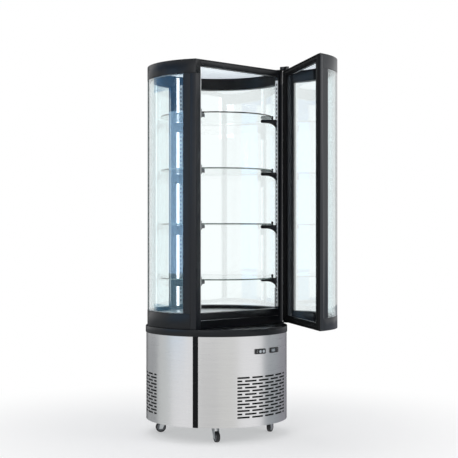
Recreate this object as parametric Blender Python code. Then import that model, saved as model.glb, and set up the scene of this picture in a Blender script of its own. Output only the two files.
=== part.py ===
# Round refrigerated display case with a deep glass door hung on one post.
# The origin is on the case's axis at floor level, and the front faces -Y.
# Angles are in degrees, counted from the front toward +X. The door is stored part open.

import bpy
import bmesh
from math import acos, asin, ceil, cos, degrees, floor, hypot, pi, radians, sin, sqrt
from mathutils import Matrix, Vector

# Whole case
case_top = 1.750
tower_radius = 0.332
base_step = 0.005
ring_step = 0.003
frame_depth = 0.030
post_angle = 60.0
rear_angle = 180.0
facet_angle = 5.0
full_turn = 360.0
smooth_angle = 32.0

# Fits that several pieces share
seat_gap = 0.0003
wall_gap = 0.0006
bore_gap = 0.0004
cut_over = 0.002
same_value = 0.000001
stop_margin_share = 0.02
column_slack_share = 0.3

# Base: panels, uprights, pan and top ring
panel_low = 0.075
panel_wall = 0.002
panel_facet_angle = 8.2
panel_joint_gap = 0.0006
strip_width = 0.0247
strip_depth = 0.002
upright_half_angle = 3.5
upright_gap = 0.0016
upright_lap = 0.0015
upright_ledge_setback = 0.067
pan_gap = 0.0014
pan_thickness = 0.003
pan_rim_height = 0.015
pan_rim_wall = 0.002
ring_low = 0.487
ring_top = 0.518
ring_edge = 0.003
ring_edge_shares = ((1.0, 0.0), (0.71, 0.71), (0.0, 1.0))
ring_hole_setback = 0.002

# Vent slots in the base panels
slot_angle = 10.4
slot_web_angle = 2.2
short_slot_angle = 4.1
slot_height = 0.008
slot_pitch = 0.015
slot_rows = 13
slot_first_height = 0.2997
front_slots = 4
side_slots = 3
side_vent_angle = 120.0

# Insulated floor and deck
floor_low = 0.430
floor_gap = 0.0013
deck_top = 0.575
deck_thickness = 0.0037
deck_gap = 0.0015
post_corner_gap = 0.0005
well_side_setback = 0.102
well_front = -0.060
well_back_setback = 0.112
well_low = 0.450
deck_slot_web = 0.012
deck_slot_width = 0.008
deck_slot_margin = 0.032
deck_slot_count = 8
deck_inlet_setback = 0.020
deck_outlet_setback = 0.012

# Tower frame
band_top = 0.590
sill_top = 0.591
sill_step_height = 0.561
sill_step = 0.002
sill_depth = 0.030
post_face = 0.031
post_side_depth = 0.015
post_arc_angle = 4.6
rear_post_angle = 177.2
rear_half_angle = 7.2
cap_low = 1.685
cap_plate = 0.005
header_low = 1.719
ceiling_thickness = 0.0037

# Double glazing
outer_pane_inset = 0.001
outer_pane = 0.005
inner_pane_inset = 0.016
inner_pane = 0.004
pane_spacer = 0.008

# Shelves and what carries them
shelf_count = 4
shelf_setback = 0.034
shelf_thickness = 0.006
shelf_first = 0.743
shelf_pitch = 0.2565
rail_width = 0.016
rail_depth = 0.0027
rail_side_setback = 0.001
rail_low = 0.600
rail_high = 1.700
rear_rail_angle = 173.6
rear_fit = 0.001
bracket_plate = 0.003
bracket_tip_setback = 0.049
bracket_arm = 0.017
bracket_gusset = 0.050
gusset_reach = 0.042
bracket_tip_round = 0.008
bracket_round_steps = 4
nub_gap = 0.004
nub_width = 0.010
nub_rise = 0.0175
lead_radius = 0.0015
lead_sides = 8
lead_stand = 0.0008
lead_offset = 0.008

# Lamp on the rear post
lamp_angle = 178.25
lamp_width = 0.0232
lamp_depth = 0.012
lamp_chamfer = 0.004
lamp_low = 0.592
lamp_high = 1.735

# Door, given closed and then turned about its pins
pivot_setout = 0.004
door_gasket_room = 0.008
door_low = 0.525
door_plate = 0.008
door_top_skirt = 0.062
door_bottom_skirt = 0.055
door_frame_depth = 0.0183
door_stile_face = 0.062
door_rail_face = 0.031
door_stile_angle = 10.6
door_stile_lap = 0.001
door_rest_angle = 59.2
gasket_margin = 0.003
gasket_width = 0.031

# Hinges
upper_leaf = 0.0047
upper_leaf_radius = 0.009
upper_leaf_reach = 0.050
upper_leaf_angle = 115.0
upper_pin_radius = 0.005
upper_pin_length = 0.011
round_steps = 8
hinge_block_radius = 0.016
hinge_block_top = 1.768
hinge_arm_angle = 205.0
upper_arm_start = 0.011
upper_arm_reach = 0.034
upper_arm_half = 0.008
upper_arm_lap = 0.001
lower_leaf = 0.003
lower_leaf_length = 0.042
lower_leaf_out = 0.0055
lower_leaf_side = 0.004
lower_pin_radius = 0.0035
lower_pin_length = 0.004
lower_eye_radius = 0.009
lower_arm_reach = 0.034
lower_arm_half = 0.006
lower_eye_lap = 0.001
lower_notch_gap = 0.0008

# Control group on the front panel
control_height = 0.416
control_width = 0.060
control_tall = 0.024
control_corner = 0.004
bezel_depth = 0.004
body_width = 0.052
body_tall = 0.020
body_depth = 0.018
body_gap = 0.0005
switch_plate_angle = -7.2
thermostat_angle = 8.5
rocker_place = -0.0205
rocker_width = 0.010
rocker_half_height = 0.0065
rocker_pivot_depth = 0.003
rocker_front = 0.0042
rocker_waist = 0.0030
rocker_back = 0.0045
rocker_back_half = 0.004
rocker_room = 0.0008
rocker_tilt = 8.0
pocket_depth = 0.010
button_radius = 0.0080
button_room = 0.0003
button_proud = 0.0025
button_tail = 0.007
button_places = (-0.0025, 0.0165)
window_place = -0.010
window_width = 0.030
window_tall = 0.014
window_depth = 0.001
key_place = 0.0190
key_width = 0.009
key_tall = 0.0055
key_offset = 0.0042
key_proud = 0.0012
key_tail = 0.004
key_pocket = 0.006

# Power inlet on the rear right panel
inlet_angle = 158.0
inlet_height = 0.1497
inlet_flange_width = 0.050
inlet_flange_tall = 0.030
inlet_flange_depth = 0.003
inlet_body_width = 0.038
inlet_body_tall = 0.021
inlet_body_depth = 0.024
inlet_socket_width = 0.024
inlet_socket_tall = 0.015
inlet_socket_depth = 0.016
inlet_blade_pitch = 0.007
inlet_blade_width = 0.002
inlet_blade_tall = 0.004
inlet_blade_length = 0.014

# Castors
castor_setback = 0.087
castor_first_angle = 45.0
castor_count = 4
castor_trail_angles = (20.0, 75.0, 140.0, 250.0)
wheel_radius = 0.025
wheel_width = 0.017
wheel_shoulder = 0.003
wheel_sides = 20
axle_radius = 0.004
castor_trail = 0.018
fork_wall = 0.002
fork_side_gap = 0.002
fork_crown = 0.0047
fork_crown_half = 0.018
fork_foot_half = 0.008
fork_foot_drop = 0.008
kingpin_radius = 0.005
kingpin_length = 0.0108
boss_radius = 0.026
boss_low = 0.071
boss_high = 0.084
boss_bore_length = 0.0113

# Refrigeration in the base
compressor_place_shares = (-0.341, 0.208)
compressor_radius = 0.078
compressor_height = 0.190
compressor_foot_width = 0.180
compressor_foot_length = 0.120
compressor_foot = 0.004
compressor_shell_shares = ((0.70, 0.0), (0.94, 0.06), (1.0, 0.16), (1.0, 0.50), (0.96, 0.54),
                           (0.96, 0.80), (0.84, 0.93), (0.50, 1.0))
condenser_width = 0.250
condenser_setback = 0.067
condenser_depth = 0.045
condenser_root = 0.012
condenser_height = 0.215
condenser_teeth = 13
condenser_fin_share = 0.55
cooler_fan_gap = 0.010
cooler_fan_depth = 0.028
cooler_fan_width = 0.210
cooler_fan_tall = 0.212
cooler_fan_centre = 0.105
cooler_fan_bore = 0.092
cooler_fan_blade = 0.087
tray_left = 0.045
tray_right = 0.205
tray_front = 0.020
tray_back = 0.140
tray_height = 0.030
tray_wall = 0.002

# Evaporator and its fan in the insulated floor
cold_coil_side_gap = 0.050
cold_coil_back_gap = 0.015
cold_coil_depth = 0.080
cold_coil_root = 0.014
cold_coil_height = 0.095
cold_coil_teeth = 15
cold_coil_fin_share = 0.5
cold_fan_setback = 0.055
cold_fan_depth = 0.022
cold_fan_width = 0.110
cold_fan_tall = 0.105
cold_fan_bore = 0.046
cold_fan_blade = 0.042

# Fan details, as shares of the fan that carries them
fan_sides = 28
hub_sides = 16
blade_count = 5
blade_pitch_angle = 32.0
hub_share = 0.26
motor_share = 0.34
spoke_share = 0.07
spoke_depth_share = 0.22
motor_depth_share = 0.45
hub_depth_share = 0.34
blade_chord_share = 0.46
blade_root_share = 0.80
blade_thick_share = 0.04
tip_lean_share = 0.5

# Sizes that follow from those above
base_radius = tower_radius + base_step
ring_radius = base_radius + ring_step
tower_inner = tower_radius - frame_depth
shelf_radius = tower_inner - shelf_setback
bracket_tip_radius = shelf_radius - bracket_tip_setback
upright_ledge_radius = base_radius - upright_ledge_setback
well_width = 2 * (tower_inner - well_side_setback)
well_back = tower_inner - well_back_setback
deck_slot_pitch = (well_width - 2 * deck_slot_margin) / deck_slot_count
deck_slot_length = deck_slot_pitch - deck_slot_web
cold_coil_width = well_width - 2 * cold_coil_side_gap
cold_coil_back = well_back - cold_coil_back_gap
cold_coil_front = cold_coil_back - cold_coil_depth
cold_fan_front = cold_coil_front - cold_fan_setback
half_chord = tower_radius * sin(radians(post_angle))
chord_y = -tower_radius * cos(radians(post_angle))
side_x = half_chord - post_face
sill_back = chord_y + sill_depth
post_side_end = chord_y + post_side_depth
tower_low = ring_top + seat_gap
wall_angle = degrees(wall_gap / tower_radius)
post_end_angle = post_angle + post_arc_angle
hole_radius = tower_inner + seat_gap
hole_front = sill_back + ring_hole_setback
panel_inner = base_radius - panel_wall
panel_top = ring_low - seat_gap
pivot = Vector((half_chord, chord_y - pivot_setout, 0.0))
door_plane = chord_y - door_gasket_room
door_back = door_plane - door_frame_depth
door_corner_angle = degrees(acos(-door_plane / tower_radius))
stile_front_angle = door_corner_angle - door_stile_angle
shelf_heights = [shelf_first + shelf_pitch * i for i in range(shelf_count)]
control_back = base_radius + seat_gap
control_front = control_back + bezel_depth
castor_circle = base_radius - castor_setback
condenser_front = condenser_setback - base_radius
condenser_back = condenser_front + condenser_depth
cooler_fan_front = condenser_back + cooler_fan_gap


# Points and outlines
def spot(radius, angle):
    """A point in plan, at a radius and an angle from the front."""
    return (radius * sin(radians(angle)), -radius * cos(radians(angle)))


def stops(start, stop, step=facet_angle):
    """Angles from start to stop, with each whole step that lies between them."""
    first = floor(start / step)
    count = ceil((stop - start) / step) + 2
    between = [(first + i) * step for i in range(count)]
    margin = step * stop_margin_share
    return [start] + [a for a in between if start + margin < a < stop - margin] + [stop]


def arc(radius, start, stop):
    return [spot(radius, a) for a in stops(start, stop)]


def mirrored(outline):
    return [(-x, y) for x, y in reversed(outline)]


def rounded(width, tall, corner):
    """A rectangle with rounded corners, about its own centre."""
    points = []
    for sx, sy, turn in ((1, 1, 0.0), (-1, 1, 90.0), (-1, -1, 180.0), (1, -1, 270.0)):
        for a in (0.0, 30.0, 60.0, 90.0):
            t = radians(turn + a)
            points.append((sx * (width / 2 - corner) + corner * cos(t),
                           sy * (tall / 2 - corner) + corner * sin(t)))
    return points


def circle(radius, sides, turn_share=0.0):
    steps = [2 * pi * (i + turn_share) / sides for i in range(sides)]
    return [(radius * cos(a), radius * sin(a)) for a in steps]


def comb(width, back, front, root, teeth, fin_share):
    """A finned block in plan: a header along the back with teeth toward the front."""
    pitch = width / (teeth - 1 + fin_share)
    fin = pitch * fin_share
    base = back + (root if front > back else -root)
    points = [(-width / 2, back), (width / 2, back)]
    for i in range(teeth):
        right = width / 2 - i * pitch
        if i > 0:
            points.append((right, base))
        points.extend([(right, front), (right - fin, front)])
        if i < teeth - 1:
            points.append((right - fin, base))
    return points


def chamber_outline(radius, front):
    """The plan inside the tower: an arc, a straight front and corners clear of the posts."""
    near = Vector((side_x, post_side_end))
    far = Vector(spot(tower_inner, post_end_angle))
    along = (far - near).normalized()
    across = Vector((-along.y, along.x))
    base = near + across * post_corner_gap
    corner = base + along * ((front - base.y) / along.y)
    middle = base.dot(along)
    reach = -middle + sqrt(middle ** 2 - base.length_squared + radius ** 2)
    shoulder = base + along * reach
    angle = degrees(acos(-shoulder.y / radius))
    return [(-corner.x, front), (corner.x, front)] + arc(radius, angle, 2 * rear_angle - angle)


class Shape:
    """Closed bodies as points and faces, before they become an object."""

    def __init__(self):
        self.points = []
        self.faces = []

    def loft(self, loops, closed=False):
        """Skin between loops of equal count, with end caps or joined round."""
        start = len(self.points)
        size = len(loops[0])
        count = len(loops)
        for loop in loops:
            self.points.extend(Vector(p) for p in loop)
        for i in range(count if closed else count - 1):
            a = start + i * size
            b = start + (i + 1) % count * size
            for k in range(size):
                n = (k + 1) % size
                self.faces.append((a + k, a + n, b + n, b + k))
        if not closed:
            self.faces.append(tuple(range(start, start + size)))
            self.faces.append(tuple(range(start + (count - 1) * size, start + count * size)))
        return self

    def prism(self, outline, low, high):
        return self.loft([[(x, y, z) for x, y in outline] for z in (low, high)])

    def slab(self, outline, near, far):
        """An outline in X and Z, given depth along Y."""
        return self.loft([[(x, y, z) for x, z in outline] for y in (near, far)])

    def box(self, low, high):
        outline = [(low[0], low[1]), (high[0], low[1]), (high[0], high[1]), (low[0], high[1])]
        return self.prism(outline, low[2], high[2])

    def sector(self, profile, start, stop):
        """A profile in radius and height, swept round the case's axis."""
        loops = []
        for a in stops(start, stop):
            loops.append([(*spot(r, a), z) for r, z in profile])
        return self.loft(loops)

    def turned(self, profile, sides, hollow=False, turn_share=0.0):
        """A profile in radius and height, turned about Z. A hollow one is joined round."""
        loops = []
        for r, z in profile:
            loops.append([(x, y, z) for x, y in circle(r, sides, turn_share)])
        return self.loft(loops, closed=hollow)

    def pierced(self, columns, rows, windows, place):
        """A sheet on a grid with open windows. place gives a point from column, row and side."""
        def is_shut(i, j):
            if not (0 <= i < len(columns) - 1 and 0 <= j < len(rows) - 1):
                return False
            c = (columns[i] + columns[i + 1]) / 2
            r = (rows[j] + rows[j + 1]) / 2
            return not any(w[0] < c < w[1] and w[2] < r < w[3] for w in windows)

        index = {}

        def vertex(i, j, side):
            key = (i, j, side)
            if key not in index:
                index[key] = len(self.points)
                self.points.append(Vector(place(columns[i], rows[j], side)))
            return index[key]

        for i in range(len(columns) - 1):
            for j in range(len(rows) - 1):
                if not is_shut(i, j):
                    continue
                corners = ((i, j), (i + 1, j), (i + 1, j + 1), (i, j + 1))
                for side in (0, 1):
                    self.faces.append(tuple(vertex(*c, side) for c in corners))
                neighbours = ((i, j - 1), (i + 1, j), (i, j + 1), (i - 1, j))
                for k, other in enumerate(neighbours):
                    if not is_shut(*other):
                        a = corners[k]
                        b = corners[(k + 1) % 4]
                        self.faces.append((vertex(*a, 0), vertex(*b, 0),
                                           vertex(*b, 1), vertex(*a, 1)))
        return self

    def moved(self, matrix):
        for p in self.points:
            p.xyz = matrix @ p
        return self

    def shifted(self, x=0.0, y=0.0, z=0.0):
        return self.moved(Matrix.Translation((x, y, z)))

    def spun(self, angle):
        return self.moved(Matrix.Rotation(radians(angle), 4, "Z"))

    def facing(self, turns):
        """Lay a shape turned about Z along Y: one quarter turn or three."""
        return self.moved(Matrix.Rotation(radians(90.0 * turns), 4, "X"))

    def add(self, other):
        start = len(self.points)
        self.points.extend(other.points)
        self.faces.extend(tuple(start + i for i in f) for f in other.faces)
        return self

    def mesh(self, name):
        """A mesh with all faces pointing out of each body."""
        work = bmesh.new()
        verts = [work.verts.new(p) for p in self.points]
        for f in self.faces:
            work.faces.new([verts[i] for i in f])
        bmesh.ops.recalc_face_normals(work, faces=work.faces)
        mesh = bpy.data.meshes.new(name)
        work.to_mesh(mesh)
        work.free()
        return mesh

    def combined(self, other, operation):
        """This shape joined with another, or with the other cut away."""
        blank = bpy.data.objects.new("blank", self.mesh("blank"))
        tool = bpy.data.objects.new("tool", other.mesh("tool"))
        for ob in (blank, tool):
            bpy.context.scene.collection.objects.link(ob)
        step = blank.modifiers.new("step", "BOOLEAN")
        step.operation = operation
        step.solver = "EXACT"
        step.object = tool
        graph = bpy.context.evaluated_depsgraph_get()
        graph.update()
        mesh = blank.evaluated_get(graph).to_mesh()
        result = Shape()
        result.points = [v.co.copy() for v in mesh.vertices]
        result.faces = [tuple(p.vertices) for p in mesh.polygons]
        for ob in (blank, tool):
            data = ob.data
            bpy.data.objects.remove(ob)
            bpy.data.meshes.remove(data)
        return result

    def joined(self, other):
        return self.combined(other, "UNION")

    def cut(self, other):
        return self.combined(other, "DIFFERENCE")


# Objects and their materials
black_coat = ((0.018, 0.020, 0.023), 0.0, 0.42, 0.0)
stainless = ((0.62, 0.63, 0.64), 1.0, 0.34, 0.0)
white_liner = ((0.80, 0.81, 0.82), 0.0, 0.45, 0.0)
clear_glass = ((0.90, 0.96, 0.97), 0.0, 0.03, 0.85)
black_rubber = ((0.012, 0.012, 0.013), 0.0, 0.80, 0.0)
black_plastic = ((0.020, 0.020, 0.022), 0.0, 0.50, 0.0)
lamp_white = ((0.95, 0.96, 0.98), 0.0, 0.30, 0.0)
copper_fin = ((0.62, 0.60, 0.56), 0.9, 0.45, 0.0)
motor_black = ((0.030, 0.030, 0.032), 0.2, 0.45, 0.0)
fan_grey = ((0.20, 0.21, 0.22), 0.0, 0.50, 0.0)


def finish(name, look):
    """A material of the object's own."""
    colour, metallic, roughness, clear = look
    paint = bpy.data.materials.new(name + "_finish")
    paint.use_nodes = True
    shader = paint.node_tree.nodes["Principled BSDF"]
    shader.inputs["Base Color"].default_value = (*colour, 1.0)
    shader.inputs["Metallic"].default_value = metallic
    shader.inputs["Roughness"].default_value = roughness
    shader.inputs["Transmission Weight"].default_value = clear
    paint.diffuse_color = (*colour, 1.0 - clear / 2)
    return paint


def make(name, shape, look, origin=(0.0, 0.0, 0.0), parent=None, turn=0.0):
    """An object whose points are given about the case's origin, or about its parent's."""
    place = Vector(origin)
    shape.shifted(*(-place))
    mesh = shape.mesh(name)
    mesh.materials.append(finish(name, look))
    mesh.shade_smooth()
    mesh.set_sharp_from_angle(angle=radians(smooth_angle))
    ob = bpy.data.objects.new(name, mesh)
    bpy.context.scene.collection.objects.link(ob)
    ob.parent = parent
    ob.location = place
    ob.rotation_euler = (0.0, 0.0, radians(turn))
    return ob


def spread(values, step):
    """Values in order, with wide intervals shared out evenly."""
    order = sorted(values)
    result = [order[0]]
    for value in order[1:]:
        gap = value - result[-1]
        if gap < same_value:
            continue
        parts = max(1, ceil(gap / step - column_slack_share))
        start = result[-1]
        result.extend(start + gap * (k + 1) / parts for k in range(parts))
    return result


# Base panels with their vents
def vent_windows(centre, full_slots):
    """Slots in rows: full ones and a short one, whose end changes side from row to row."""
    widths = [slot_angle] * full_slots + [short_slot_angle]
    span = sum(widths) + slot_web_angle * full_slots
    windows = []
    for row in range(slot_rows):
        height = slot_first_height - row * slot_pitch
        angle = centre - span / 2
        for width in (widths if row % 2 == 0 else widths[::-1]):
            windows.append((angle, angle + width, height - slot_height / 2, height + slot_height / 2))
            angle += width + slot_web_angle
    return windows


def body_window(angle, height, width, tall, gap):
    """The cutout for a straight body that passes through the panel."""
    half = degrees(asin((width / 2 + gap) / panel_inner))
    return (angle - half, angle + half, height - tall / 2 - gap, height + tall / 2 + gap)


def base_panel(name, start, stop, windows):
    gap = degrees(panel_joint_gap / base_radius) / 2
    ends = [start + gap, stop - gap]
    columns = spread(ends + [a for w in windows for a in w[:2]], panel_facet_angle)
    rows = spread([panel_low, panel_top] + [z for w in windows for z in w[2:]], case_top)

    def place(angle, height, side):
        return (*spot(panel_inner if side else base_radius, angle), height)

    make(name, Shape().pierced(columns, rows, windows, place), stainless)


for scene_object in list(bpy.data.objects):
    bpy.data.objects.remove(scene_object, do_unlink=True)

front_windows = vent_windows(0.0, front_slots)
for unit_angle in (switch_plate_angle, thermostat_angle):
    front_windows.append(body_window(unit_angle, control_height, body_width, body_tall, body_gap))
inlet_window = body_window(inlet_angle, inlet_height, inlet_body_width, inlet_body_tall, body_gap)
base_panel("base_panel_front", -post_angle, post_angle, front_windows)
base_panel("base_panel_left", -rear_angle, -post_angle, vent_windows(-side_vent_angle, side_slots))
base_panel("base_panel_right", post_angle, rear_angle,
           vent_windows(side_vent_angle, side_slots) + [inlet_window])

# Black strips over the three joints between the panels
strip_half_angle = degrees(strip_width / 2 / base_radius)
strip_back = base_radius + seat_gap
strip_profile = [(strip_back, panel_low), (strip_back + strip_depth, panel_low),
                 (strip_back + strip_depth, panel_top), (strip_back, panel_top)]
joint_angles = {"left": -post_angle, "right": post_angle, "rear": rear_angle}
for side, joint_angle in joint_angles.items():
    strip = Shape().sector(strip_profile, joint_angle - strip_half_angle, joint_angle + strip_half_angle)
    make("seam_strip_" + side, strip, black_coat)

# Base frame: the pan, its castor bosses and the uprights behind the joints
castor_angles = [castor_first_angle + full_turn * i / castor_count for i in range(castor_count)]
pan_radius = panel_inner - pan_gap
rim_in = pan_radius - pan_rim_wall
pan_floor = panel_low + pan_thickness
frame = Shape().turned([(pan_radius, panel_low), (pan_radius, panel_low + pan_rim_height),
                        (rim_in, panel_low + pan_rim_height), (rim_in, pan_floor)],
                       int(full_turn / facet_angle))
upright_outer = panel_inner - upright_gap
upright_low = pan_floor - upright_lap
upright_high = ring_low - wall_gap
upright_ledge = floor_low - seat_gap
upright_profile = [(upright_ledge_radius, upright_low), (upright_outer, upright_low),
                   (upright_outer, upright_high), (hole_radius, upright_high),
                   (hole_radius, upright_ledge), (upright_ledge_radius, upright_ledge)]
for joint_angle in joint_angles.values():
    frame = frame.joined(Shape().sector(upright_profile, joint_angle - upright_half_angle,
                                        joint_angle + upright_half_angle))
for castor_angle in castor_angles:
    boss = Shape().turned([(boss_radius, boss_low), (boss_radius, boss_high)], wheel_sides)
    bore = Shape().turned([(kingpin_radius + bore_gap, boss_low - cut_over),
                           (kingpin_radius + bore_gap, boss_low + boss_bore_length)], hub_sides)
    x, y = spot(castor_circle, castor_angle)
    frame = frame.joined(boss.shifted(x, y)).cut(bore.shifted(x, y))
make("base_frame", frame, stainless)


# Castors: a swivelling fork and its wheel
def castor_fork():
    """A folded fork, with its crown at the swivel, its axle behind and its kingpin on top."""
    outer = wheel_width / 2 + fork_side_gap + fork_wall
    inner = outer - fork_wall
    top = boss_low - seat_gap
    bottom = axle_height - fork_foot_drop
    under = top - fork_crown
    profile = [(-outer, bottom), (-outer, top), (outer, top), (outer, bottom),
               (inner, bottom), (inner, under), (-inner, under), (-inner, bottom)]

    def edge(z, foot, crown):
        return foot + (crown - foot) * (z - bottom) / (top - bottom)

    back = [(edge(z, castor_trail - fork_foot_half, -fork_crown_half), y, z) for y, z in profile]
    front = [(edge(z, castor_trail + fork_foot_half, fork_crown_half), y, z) for y, z in profile]
    fork = Shape().loft([back, front])
    reach = inner + fork_wall / 2
    axle = Shape().turned([(axle_radius, -reach), (axle_radius, reach)], hub_sides).facing(1)
    pin = Shape().turned([(kingpin_radius, under + fork_crown / 2),
                          (kingpin_radius, top + kingpin_length)], hub_sides)
    return fork.joined(axle.shifted(castor_trail, 0.0, axle_height)).joined(pin)


def castor_wheel():
    half = wheel_width / 2
    bore = axle_radius + bore_gap
    profile = [(bore, -half), (wheel_radius - wheel_shoulder, -half),
               (wheel_radius, -half + wheel_shoulder), (wheel_radius, half - wheel_shoulder),
               (wheel_radius - wheel_shoulder, half), (bore, half)]
    return Shape().turned(profile, wheel_sides, hollow=True, turn_share=0.5).facing(1)


axle_height = wheel_radius * cos(pi / wheel_sides)
for number, castor_angle in enumerate(castor_angles, 1):
    x, y = spot(castor_circle, castor_angle)
    swivel = make("castor_fork_%d" % number, castor_fork().shifted(0.0, 0.0, -boss_low), black_coat,
                  turn=castor_trail_angles[number - 1])
    swivel.location = (x, y, boss_low)
    wheel = make("castor_wheel_%d" % number, castor_wheel(), black_rubber, parent=swivel)
    wheel.location = (castor_trail, 0.0, axle_height - boss_low)

# Ring on top of the base, round outside and with the chamber's opening inside
ring = Shape()
ring_loops = []
hole_corner = degrees(acos(-hole_front / hole_radius))
ring_angles = sorted(set(stops(-rear_angle, rear_angle)[:-1]
                         + [-hole_corner, hole_corner]))
for a in ring_angles:
    hole = min(hole_radius, -hole_front / cos(radians(a))) if abs(a) < hole_corner else hole_radius
    profile = [(hole, ring_low), (ring_radius, ring_low)]
    for out_share, up_share in ring_edge_shares:
        profile.append((ring_radius - ring_edge * (1 - out_share), ring_top - ring_edge * (1 - up_share)))
    profile.append((hole, ring_top))
    ring_loops.append([(*spot(r, a), z) for r, z in profile])
make("base_top_ring", ring.loft(ring_loops, closed=True), black_coat)

# Insulated floor with the evaporator's well, and the deck over it
deck_front = sill_back + seat_gap
deck_radius = tower_inner - deck_gap
floor_shape = Shape().prism(chamber_outline(hole_radius - floor_gap, hole_front + seat_gap),
                            floor_low, deck_top - deck_thickness - seat_gap)
well = Shape().box((-well_width / 2, well_front, well_low),
                   (well_width / 2, well_back, deck_top + cut_over))
make("insulated_floor", floor_shape.cut(well), white_liner)

deck = Shape().prism(chamber_outline(deck_radius, deck_front), deck_top - deck_thickness, deck_top)
slots = Shape()
for row_y in (well_front + deck_inlet_setback, well_back - deck_outlet_setback - deck_slot_width):
    for i in range(deck_slot_count):
        middle = (i - (deck_slot_count - 1) / 2) * deck_slot_pitch
        slots.box((middle - deck_slot_length / 2, row_y, deck_top - deck_thickness - cut_over),
                  (middle + deck_slot_length / 2, row_y + deck_slot_width, deck_top + cut_over))
make("floor_deck", deck.cut(slots), stainless)

# Band round the tower's foot, from post to post behind
wall_start = post_end_angle + wall_angle
band = Shape().sector([(tower_inner, tower_low), (tower_radius, tower_low),
                       (tower_radius, band_top), (tower_inner, band_top)],
                      wall_start, 2 * rear_angle - wall_start)
make("bottom_band", band, black_coat)

# Sill and header across the front, between the front posts
across = side_x - seat_gap
sill_profile = [(chord_y + sill_step, tower_low), (sill_back, tower_low), (sill_back, sill_top),
                (chord_y, sill_top), (chord_y, sill_step_height),
                (chord_y + sill_step, sill_step_height - sill_step)]
make("door_sill", Shape().loft([[(x, y, z) for y, z in sill_profile] for x in (-across, across)]),
     black_coat)
header_top = case_top - cap_plate - seat_gap
make("header_rail", Shape().box((-across, chord_y, header_low), (across, sill_back, header_top)),
     black_coat)

# Posts
post_top = cap_low - seat_gap
post_outline = ([(side_x, chord_y)] + arc(tower_radius, post_angle, post_end_angle)
                + [spot(tower_inner, post_end_angle), (side_x, post_side_end)])
lower_eye_low = tower_low + lower_leaf + seat_gap
lower_eye_high = door_low + lower_eye_lap
notch_radius = lower_eye_radius + lower_notch_gap
notch = Shape().turned([(notch_radius, ring_top - cut_over),
                        (notch_radius, lower_eye_high + lower_notch_gap)], fan_sides)
right_post = Shape().prism(post_outline, tower_low, post_top)
make("post_right", right_post.cut(notch.shifted(pivot.x, pivot.y)), black_coat)
make("post_left", Shape().prism(mirrored(post_outline), tower_low, post_top), black_coat)
rear_start = rear_post_angle - rear_half_angle
rear_stop = rear_post_angle + rear_half_angle
rear_outline = (arc(tower_radius, rear_start, rear_stop)
                + arc(tower_inner, rear_start, rear_stop)[::-1])
make("post_rear", Shape().prism(rear_outline, band_top + seat_gap, post_top), black_coat)

# Double glazing on each side: two curved panes on a spacer at their foot
outer_pane_out = tower_radius - outer_pane_inset
outer_pane_in = outer_pane_out - outer_pane
inner_pane_out = tower_radius - inner_pane_inset
inner_pane_in = inner_pane_out - inner_pane


def glazing(low, high, start, stop):
    profile = [(inner_pane_in, low), (outer_pane_out, low), (outer_pane_out, high),
               (outer_pane_in, high), (outer_pane_in, low + pane_spacer),
               (inner_pane_out, low + pane_spacer), (inner_pane_out, high), (inner_pane_in, high)]
    return Shape().sector(profile, start, stop)


pane_low = band_top + seat_gap
make("glass_left", glazing(pane_low, post_top, rear_stop + wall_angle, 2 * rear_angle - wall_start),
     clear_glass)
make("glass_right", glazing(pane_low, post_top, wall_start, rear_start - wall_angle), clear_glass)

# Cap with its skirt, and the ceiling under it
cap_outline = arc(tower_radius, post_angle, 2 * rear_angle - post_angle)
pocket_front = chord_y - cut_over
pocket = ([(-side_x, post_side_end), (-side_x, pocket_front), (side_x, pocket_front),
           (side_x, post_side_end)]
          + arc(tower_inner, post_end_angle, 2 * rear_angle - post_end_angle))
cap = Shape().prism(cap_outline, cap_low, case_top)
make("top_cap", cap.cut(Shape().prism(pocket, cap_low - cut_over, case_top - cap_plate)), black_coat)
make("ceiling_panel", Shape().prism(chamber_outline(deck_radius, deck_front),
                                    header_top - ceiling_thickness, header_top), white_liner)

# Shelf rails with their brackets: flat arms that point at the case's axis
bracket_tops = [z - shelf_thickness / 2 - seat_gap for z in shelf_heights]
rail_y = chord_y + rail_side_setback + rail_width / 2
rear_back = tower_inner - rear_fit


def bracket(top, face_radius):
    """One bracket in the plane x = 0, along -Y, with its foot let into the rail."""
    start = -rail_depth / 2
    tip = face_radius - bracket_tip_radius
    nub_far = face_radius - shelf_radius - nub_gap
    nub_near = nub_far - nub_width
    gusset_low = top - bracket_gusset
    outline = [(start, top), (start, gusset_low)]
    for k in range(1, bracket_round_steps + 1):
        t = pi / 2 * k / bracket_round_steps
        outline.append((start + (gusset_reach - start) * (1 - cos(t)),
                        gusset_low + (bracket_gusset - bracket_arm) * sin(t)))
    for k in range(bracket_round_steps + 1):
        t = pi * (k / bracket_round_steps - 1 / 2)
        outline.append((tip - bracket_tip_round + bracket_tip_round * cos(t),
                        top - bracket_arm / 2 + bracket_arm / 2 * sin(t)))
    outline.extend([(nub_far, top), (nub_far, top + nub_rise), (nub_near, top + nub_rise),
                    (nub_near, top)])
    half = bracket_plate / 2
    return Shape().loft([[(x, face_radius - s, z) for s, z in outline] for x in (-half, half)])


def shelf_rail(name, turn, x, y, swing, face_radius, angle):
    """A rail stood on a post's face, joined with its brackets."""
    rail = Shape().box((-rail_width / 2, -rail_depth, rail_low), (rail_width / 2, 0.0, rail_high))
    rail.spun(turn).shifted(x, y).spun(swing)
    arms = Shape()
    for top in bracket_tops:
        arms.add(bracket(top, face_radius).spun(angle - rear_angle))
    make(name, rail.joined(arms), black_coat)


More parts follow.
